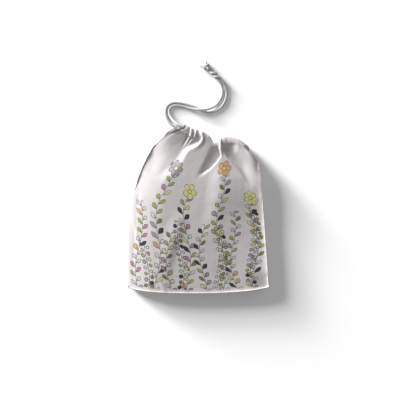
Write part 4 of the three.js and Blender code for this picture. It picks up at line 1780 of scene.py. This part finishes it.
    def bottom_seam_height(self, u: Array) -> Array:
        """How high the bottom seam lies."""
        drop = self.corner_drop(u, np.zeros_like(u))
        return mix(self.left_height, self.right_height, self.from_left(u)) - drop


@dataclass
class Panel:
    """One of the two cloth panels with its hem, from the bottom seam round the cord and back."""

    name: str
    nodes: tuple[str, str]
    plan: BagPlan
    exit_point: Array
    side: int
    columns: int = 220
    rows: int = 168
    hem_rows: int = 34
    hem_flat: float = 36.0 * MM
    hem_end: float = -0.92 * math.pi
    thickness: float = 0.7 * MM
    tuck: float = 1.6 * MM
    plateau: float = 23.8 * MM
    roll: float = 4.0 * MM
    gathers: float = 0.7 * MM
    gather_pitch: float = 5.4 * MM
    gather_stations: Numbers = (0, 0.1, 0.22, 0.34, 0.40, 0.56, 0.64, 0.72, 1.0)
    gather_strengths: Numbers = (0.9, 0.4, 0.1, 0.1, 0.1, 0.1, 0.2, 0.4, 0.4)
    cord_room: float = 1.5 * MM
    fold_room: float = 14.0 * MM
    room_reach: Pair = (1.5 * MM, 24.0 * MM)
    lap: float = 0.8 * MM
    tuck_under: float = 11.0 * MM
    full_wall: float = 24.0 * MM
    under_reach: float = 90.0 * MM
    tuck_drop: float = 1.7
    puckers: float = 0.5 * MM
    pucker_reach: float = 9.0 * MM
    dents: float = 1.3 * MM
    ledge: float = 5.0 * MM
    wall_ease: float = 1.15
    wall_extra: float = 2.0 * MM
    crest: float = 0.40
    mouth_rise: Pair = (0.78, 0.62)
    welt_change: Pair = (0.5, 0.8)
    welt_reach: Pair = (4.6 * MM, 8.0 * MM)
    welt_depth: Pair = (1.3 * MM, 2.4 * MM)
    bottom_welt: float = 4.0 * MM
    fold_fade: Triple = (12.0 * MM, 9.0 * MM, 6.0 * MM)
    seed: int = 7

    def cloth_grid(self) -> tuple[Array, Array]:
        """Where the points lie on the flat cloth.

        Returns:
            How far they are from its left and bottom edges, in metres.
        """
        s = np.linspace(0.0, 1.0, self.columns)
        across = (s - 0.4 * np.sin(2 * math.pi * s) / (2 * math.pi)) * self.plan.flat_width
        t = np.linspace(0.0, 1.0, self.rows)
        up = (t - 0.25 * np.sin(2 * math.pi * t) / (2 * math.pi)) ** 0.9 * self.plan.flat_length
        hem = self.plan.flat_length + np.linspace(0.0, self.hem_flat, self.hem_rows + 1)[1:]
        tucks = np.array([-1.0, -0.5]) * self.tuck
        across = np.concatenate([tucks, across, self.plan.flat_width - tucks[::-1]])
        return np.meshgrid(across, np.concatenate([tucks, up, hem]))

    def build(self, material: Material) -> Piece:
        """Makes the panel with its hem.

        Args:
            material: The cloth.

        Returns:
            The panel.
        """
        across, up = self.cloth_grid()
        body = up[:, 0] <= self.plan.flat_length
        points = np.concatenate([
            self.panel_places(across[body], up[body]),
            self.hem_places(across[~body], up[~body]),
        ])
        flat = np.stack([across, up], axis=-1)
        piece = grid_piece(self.name, points, flat, flip=self.side < 0)
        solidify(piece, self.thickness)
        finish_piece(piece, material, "bag")
        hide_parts(*self.nodes)
        return piece

    def gather(self, u: Array) -> Array:
        """The small gathers along the hem.

        Args:
            u: Share of the way across the cloth.

        Returns:
            How far the cloth stands out, in metres.
        """
        rail = self.plan.rail(self.exit_point, self.side)
        ridges = ridge_train(u * rail.distance[-1], self.gather_pitch, self.seed)
        if self.side < 0:
            return self.gathers * ridges
        strength = np.interp(u, self.gather_stations, self.gather_strengths)
        return self.gathers * strength * ridges

    def hem_places(self, across: Array, up: Array) -> Array:
        """Where points of the hem lie, round the cord.

        Args:
            across: How far they are from the cloth's left edge.
            up: How far they are from its bottom edge.

        Returns:
            Their places.
        """
        u = np.clip(across / self.plan.flat_width, 0, 1)
        w = (up - self.plan.flat_length) / self.hem_flat
        angle = mix(self.plan.hem_start, self.hem_end, w)
        rail = self.plan.rail(self.exit_point, self.side)
        centre, sideways, outer, share, turn = rail.at(u)
        a, h = self.plan.hem_section(angle, share, turn, self.side)
        inward = np.clip(-np.minimum(across, self.plan.flat_width - across), 0, None)
        narrow = 1 - 0.16 * np.clip(inward / self.lap, 0, 1)
        ridges = self.gather(u)
        a = a * narrow + ridges * 0.8 * np.cos(angle)
        h = h * narrow + ridges * np.sin(angle)
        point = centre + sideways * a[..., None] + outer * h[..., None]
        ahead = np.cross(sideways, outer) * self.side
        point = point + ahead * np.where(u < 0.5, inward, 0.0)[..., None]
        if self.side > 0:
            weight = smooth(-0.2, 0.5, np.sin(angle)) * outer[..., 2]
            point[..., 2] += self.folds(point[..., :2], np.abs(a)) * weight
        point[..., 2] = np.maximum(point[..., 2], GROUND_GAP)
        return point

    def folds(self, plan: Array, from_cord: Array) -> Array:
        """The named folds at these places in plan, kept clear of the cord.

        Args:
            plan: The places.
            from_cord: How far from the cord's line they are.

        Returns:
            How far the cloth rises there.
        """
        rise = sum(fold.rise(plan) for fold in FRONT_FOLDS.values())
        room = self.cord_room + self.fold_room * smooth(*self.room_reach, from_cord)
        return np.where(rise < 0, room * np.expm1(np.minimum(rise, 0) / room), rise)

    def panel_places(self, across: Array, up: Array) -> Array:
        """Where points of the panel lie on the filled bag.

        Args:
            across: How far they are from the cloth's left edge.
            up: How far they are from its bottom edge.

        Returns:
            Their places.
        """
        shape = self.plan
        width, length = shape.flat_width, shape.flat_length
        u, v = np.clip(across / width, 0, 1), np.clip(up / length, 0, 1)
        slit = smooth(1 - shape.slit_length / length, 1.0, v)
        side_room = np.minimum(across, width - across)
        on_left = u < 0.5
        seam = np.where(on_left, shape.left_seam_height(v), shape.right_seam_height(v))
        bottom = shape.bottom_seam_height(u)
        free = np.where(on_left, 1 - slit, 1 - smooth(0.9, 1.0, v))
        end = shape.seam_end
        rim = np.where(on_left, shape.left_rim(v), shape.rim) * smooth(0.0, end, v) * free
        bottom_rim = shape.rim * smooth(0.0, end, u) * smooth(0.0, end, 1 - u)
        if self.side > 0:
            roll_u, roll_v, out = self.roll * free, self.roll + 0 * u, 0.2
        else:
            roll_u = (self.wall_ease * seam + self.wall_extra) * free
            roll_v, out = self.wall_ease * bottom + self.wall_extra, 1.0
        roll_u = np.maximum(roll_u, 1e-6)
        inner_u = np.clip((u - roll_u / width) / (1 - 2 * roll_u / width), 0, 1)
        inner_v = np.clip((v - roll_v / length) / (1 - roll_v / length), 0, 1)
        plan, sideways, downwards = self.patch(inner_u, inner_v)
        turn_u = np.clip(side_room / roll_u, 0, 1)
        turn_v = np.clip(up / roll_v, 0, 1)
        beside = out * rim * np.sin(math.pi * turn_u) * smooth(0, 1, turn_v)
        below = out * bottom_rim * np.sin(math.pi * turn_v) * smooth(0, 1, turn_u)
        plan = plan + sideways * beside[..., None] + downwards * below[..., None]
        if self.side < 0:
            from_side = self.under(side_room, roll_u, turn_u, up) * free * smooth(0, 1, turn_v)
            from_bottom = self.under(up, roll_v, turn_v, across) * smooth(0, 1, turn_u)
            plan = plan - sideways * from_side[..., None] - downwards * from_bottom[..., None]
        lying = mix(1.0, 0.5, free)
        plan = plan - sideways * (lying * np.clip(-side_room, 0, None))[..., None]
        plan = plan - downwards * (0.5 * np.clip(-up, 0, None))[..., None]
        top = self.top_edge(u)[..., 2]
        if self.side > 0:
            height = self.front_height(u, v, side_room, up, top)
            left, right, bottom = self.fold_fade
            fade = smooth(0.0, 1.0, side_room / np.where(on_left, left, right)) * smooth(0.0, bottom, up)
            height = height + self.folds(plan, np.abs(length - up)) * fade
        else:
            height = self.back_height(u, v, seam, bottom, turn_u, turn_v, top)
        fade = smooth(0.80, 0.99, v) ** 2
        height = height + self.side * self.gather(u) * fade
        by_side, by_bottom = (np.exp(-((room / self.pucker_reach) ** 2)) for room in (side_room, up))
        height = height + self.puckers * uneven(up) * by_side * free
        height = height + self.puckers * uneven(across + 0.4) * by_bottom
        tucked = np.clip(-np.minimum(side_room, up), 0, None)
        lapped = self.side * 0.6 * np.minimum(tucked, self.lap)
        height = height - mix(lapped, self.tuck_drop * tucked, free)
        height = np.maximum(height, GROUND_GAP)
        return np.concatenate([plan, height[..., None]], axis=-1)

    def under(self, room: Array, roll: Array, turn: Array, along: Array) -> Array:
        """How far the back cloth draws in under the bag.

        Args:
            room: How far the places are from their seam on the flat cloth.
            roll: How much cloth the wall below the seam takes.
            turn: How far down the wall they are, from 0 to 1.
            along: How far along the seam they are.

        Returns:
            The way they move inwards.
        """
        drawn = self.tuck_under * np.minimum(roll / self.full_wall, 1.0) * turn**2.6
        drawn = drawn * (1 - smooth(0.0, self.under_reach, room - roll))
        dent = self.dents * np.clip(uneven(along * 0.7 + 0.2) + 0.6, 0.0, None)
        return drawn + dent * np.sin(math.pi * turn) ** 2 * (turn < 1)

    def top_edge(self, u: Array) -> Array:
        """Where the panel meets its hem."""
        return self.plan.hem_edge(self.plan.rail(self.exit_point, self.side), u, self.side)

    def patch(self, u: Array, v: Array) -> tuple[Array, Array, Array]:
        """The panel's plan between its seams and its hem.

        Args:
            u: Share of the way across.
            v: Share of the way up.

        Returns:
            The places, the directions out to the nearer side, and those out at the bottom.
        """
        left, right, bottom = self.plan.seams()
        zero, one = np.array(0.0), np.array(1.0)
        top_left, top_right = self.top_edge(zero)[:2], self.top_edge(one)[:2]
        slit = smooth(1 - self.plan.slit_length / self.plan.flat_length, 1.0, v)[..., None]
        closing = smooth(0.93, 1.0, v)[..., None]
        left_at = left.at(v) + (top_left - left.at(one)) * slit
        right_at = right.at(v) + (top_right - right.at(one)) * closing
        bottom_at = bottom.at(u)
        top_at = self.top_edge(u)[..., :2]
        uu, vv = u[..., None], v[..., None]
        corners = mix(mix(left.at(zero), right.at(zero), uu), mix(top_left, top_right, uu), vv)
        place = mix(bottom_at, top_at, vv) + mix(left_at, right_at, uu) - corners
        sideways = np.where(uu < 0.5, aside(left.direction(v)), -aside(right.direction(v)))
        downwards = -aside(bottom.direction(u))
        return place, sideways, downwards

    def front_height(self, u: Array, v: Array, side_room: Array, up: Array, top: Array) -> Array:
        """A broad plateau that falls to the left seam and to the mouth.

        Args:
            u: Share of the way across the cloth.
            v: Share of the way up.
            side_room: How far the places are from the nearer side seam.
            up: How far they are from the bottom seam.
            top: How high the hem's edge is.

        Returns:
            The cloth's height.
        """
        shape = self.plan
        left = shape.left_seam_height(v)
        right = shape.right_seam_height(v) + shape.corner_drop(np.ones_like(v), v)
        to_right = np.clip((u - self.crest) / (1 - self.crest), 0, 1) ** 1.2
        crest = mix(self.plateau, shape.right_height, (1 - np.clip(v / self.crest, 0, 1)) ** 1.3)
        height = mix(mix(left, crest, shape.from_left(u)), right, to_right) - shape.corner_drop(u, v)
        rising = mix(*self.mouth_rise, smooth(0.0, 0.15, u))
        height = mix(height, top, smooth(0.0, 1.0, (v - rising) / (1 - rising)))
        to_side = smooth(*self.welt_change, u)
        reach, depth = mix(*self.welt_reach, to_side), mix(*self.welt_depth, to_side)
        welt = np.exp(-((np.clip(side_room, 0, 1) / reach) ** 2))
        welt = np.maximum(welt, np.exp(-((np.clip(up, 0, 1) / self.bottom_welt) ** 2)))
        welt = np.maximum(welt, smooth(0.8, 0.95, v))
        return height + depth * (welt - 1)

    def back_height(
        self, u: Array, v: Array, seam: Array, bottom: Array, turn_u: Array, turn_v: Array, top: Array
    ) -> Array:
        """Flat on the surface, with a wall up to the seams.

        Args:
            u: Share of the way across the cloth.
            v: Share of the way up.
            seam: How high the nearer side seam lies.
            bottom: How high the bottom seam lies.
            turn_u: How far down the wall below the side seam the places are, from 0 to 1.
            turn_v: How far down the wall below the bottom seam.
            top: How high the hem's edge is.

        Returns:
            The cloth's height.
        """
        wall_u = (1 + np.cos(math.pi * turn_u)) / 2
        wall_v = (1 + np.cos(math.pi * turn_v)) / 2
        height = GROUND_GAP + np.maximum((seam - GROUND_GAP) * wall_u, (bottom - GROUND_GAP) * wall_v)
        bulge = (self.plan.left_rim(v) - self.plan.rim) / self.plan.shoulder_rim
        height = height + self.ledge * np.where(u < 0.5, bulge, 0.0) * np.sin(math.pi * turn_u)
        return mix(height, np.maximum(top, GROUND_GAP), smooth(0.86, 1.0, v))


@dataclass
class Allowance:
    """The two turned-in edges of a seam, which lie against the front cloth on the inside."""

    name: str
    node: str
    panel: Panel
    edge: str
    width: float = 11.5 * MM
    start: float = 5.5 * MM
    cloth: float = 1.3 * MM
    clearance: float = 0.25 * MM
    bottom_ends: Pair = (0.05, 0.95)
    side_ends: Pair = (0.045, 0.9)
    stations: int = 200
    strips: int = 7

    def build(self, material: Material) -> Piece:
        """Makes the strip.

        Args:
            material: The cloth.

        Returns:
            The strip.
        """
        plan = self.panel.plan
        inward = np.linspace(self.start, self.width, self.strips)
        if self.edge == "bottom":
            along = np.linspace(*self.bottom_ends, self.stations) * plan.flat_width
            across, up = np.meshgrid(along, inward)
        else:
            low, top = self.side_ends
            reach = plan.flat_width - inward[::-1]
            if self.edge == "left":
                top, reach = 1 - plan.slit_length / plan.flat_length, inward
            along = np.linspace(low, top, self.stations) * plan.flat_length
            across, up = np.meshgrid(reach, along)
        points = self.panel.panel_places(across, up)
        by_row, by_column = np.gradient(points, axis=0), np.gradient(points, axis=1)
        normal = np.cross(by_column, by_row)
        normal /= np.linalg.norm(normal, axis=-1, keepdims=True)
        points = points - normal * (self.panel.thickness + self.clearance)
        piece = grid_piece(self.name, points, np.stack([across, up], axis=-1))
        solidify(piece, self.cloth)
        finish_piece(piece, material, "bag")
        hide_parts(self.node)
        return piece


@dataclass
class Stitching:
    """A row of stitches that lies on a panel's outer face."""

    name: str
    panel: Panel
    pitch: float = 3.4 * MM
    part: Pair = (0.14, 0.86)
    thickness: float = 0.44 * MM
    sunk: float = 0.05 * MM
    probe: float = 0.6 * MM

    def surface(self, across: Array, up: Array) -> tuple[Array, Array]:
        """The places on the outer face with the directions out of it.

        Args:
            across: How far they are from the cloth's left edge.
            up: How far they are from its bottom edge.

        Returns:
            The places and the directions.
        """
        here = self.panel.panel_places(across, up)
        right = self.panel.panel_places(across + self.probe, up)
        below = self.panel.panel_places(across, up - self.probe)
        out = np.cross(right - here, here - below)
        out /= np.linalg.norm(out, axis=-1, keepdims=True)
        return here, out * self.panel.side

    def build(self, material: Material, rows: list[Places]) -> None:
        """Makes the stitches.

        Args:
            material: The thread.
            rows: The two ends of each row on the flat cloth, in metres from its lower left corner.
        """
        deselect()
        bpy.ops.mesh.primitive_uv_sphere_add(segments=8, ring_count=6, radius=0.5)
        first = bpy.context.object
        first.name = self.name
        stitches = []
        for start, end in rows:
            span = math.dist(start, end)
            count = int(span / self.pitch)
            share = np.array([(np.arange(count) + part) / count for part in self.part])
            across, up = (mix(a, b, share) for a, b in zip(start, end))
            place, out = self.surface(across, up)
            for (tail, head), (normal, _) in zip(place.swapaxes(0, 1), out.swapaxes(0, 1)):
                stitches.append(self.copy(first, tail, head, normal))
        bpy.data.meshes.remove(first.data)
        activate(stitches[0])
        for stitch in stitches:
            stitch.select_set(True)
        bpy.ops.object.join()
        bpy.ops.object.transform_apply(location=True, rotation=True, scale=True)
        bpy.ops.object.shade_smooth()
        piece = bpy.context.object
        piece.name = self.name
        finish_piece(piece, material, "bag")

    def copy(self, first: Piece, tail: Array, head: Array, normal: Array) -> Piece:
        """Lays a copy of the first stitch between two places on the cloth.

        Args:
            first: The stitch that is copied.
            tail: Where the copy starts.
            head: Where it ends.
            normal: The direction out of the cloth.

        Returns:
            The copy.
        """
        along = head - tail
        long = np.linalg.norm(along)
        along /= long
        across = np.cross(normal, along)
        across /= np.linalg.norm(across)
        over = np.cross(along, across)
        middle = (tail + head) / 2 + over * (self.thickness / 2 - self.sunk)
        middle[2] = max(middle[2], self.thickness / 2 + abs(along[2]) * long / 2 + 0.05 * MM)
        stitch = bpy.data.objects.new(self.name, first.data.copy())
        bpy.context.collection.objects.link(stitch)
        axes = (along * long, across * self.thickness, over * self.thickness, middle)
        stitch.matrix_world = Matrix([[*(axis[k] for axis in axes)] for k in range(3)] + [[0, 0, 0, 1]])
        return stitch


def uneven(distance: Array) -> Array:
    """A slow uneven wave along a seam.

    Args:
        distance: How far along the seam each value is wanted.

    Returns:
        The wave, from about -1 to 1.
    """
    turns = 2 * math.pi * distance
    waves = (np.sin(turns / 0.0310 + 0.7), np.sin(turns / 0.0187 + 2.1), np.sin(turns / 0.0121 + 4.4))
    return 0.45 * waves[0] + 0.33 * waves[1] + 0.22 * waves[2]


def ridge_train(distance: Array, pitch: float, seed: int) -> Array:
    """Uneven ridges along a gathered edge, from -1 to 1.

    Args:
        distance: How far along the edge each value is wanted.
        pitch: The mean distance between two ridges.
        seed: Where the draws start.

    Returns:
        The height of the cloth at each distance.
    """
    draws = np.random.default_rng(seed)
    count = int(distance.max() / pitch) + 4
    steps = pitch * draws.uniform(0.65, 1.35, count)
    peaks = np.cumsum(steps) - pitch
    heights = draws.uniform(0.55, 1.0, count)
    widths = steps * draws.uniform(0.4, 0.55, count)
    level = np.zeros_like(distance)
    for peak, height, width in zip(peaks, heights, widths):
        level += height * np.exp(-(((distance - peak) / width) ** 2))
    return 2 * level - 1


def main() -> None:
    """Builds the studio and the bag in order and reports each piece."""
    logging.basicConfig(level=logging.INFO, format="%(name)s: %(message)s")
    bpy.context.scene.view_settings.view_transform = "Standard"
    studio = Studio()
    studio.camera()
    studio.floor()
    studio.lights()
    plan = BagPlan()
    cord_material = CordCotton().material()
    drawcord = Drawcord()
    drawcord.build_free(cord_material, drawcord.build_knot(cord_material))
    drawcord.build_held(cord_material, [plan.rail(FRONT_EXIT, 1), plan.rail(BACK_EXIT, -1)])
    weave = Weave().group()
    cloth = Canvas("cotton_canvas").material(weave)
    printed = Canvas("printed_canvas", printed=MeadowPrint()).material(weave)
    front = Panel("front_cloth", ("front_panel", "front_channel"), plan, FRONT_EXIT, 1)
    front.build(printed)
    back = Panel("back_cloth", ("back_panel", "back_channel"), plan, BACK_EXIT, -1, seed=23)
    back.build(cloth)
    for edge in ("left", "right", "bottom"):
        Allowance(f"{edge}_allowance", f"{edge}_seam_allowance", front, edge).build(cloth)
    thread = Thread().material()
    width, length = plan.flat_width, plan.flat_length
    hem_up, slit_in = length - 2.2 * MM, 4.5 * MM
    hem_row = ((3 * MM, hem_up), (width - 4 * MM, hem_up))
    slit_row = ((slit_in, length - plan.slit_length), (slit_in, length - 5 * MM))
    Stitching("front_stitching", front).build(thread, [hem_row, slit_row])
    Stitching("back_stitching", back).build(thread, [hem_row, slit_row])


if __name__ == "__main__":
    main()
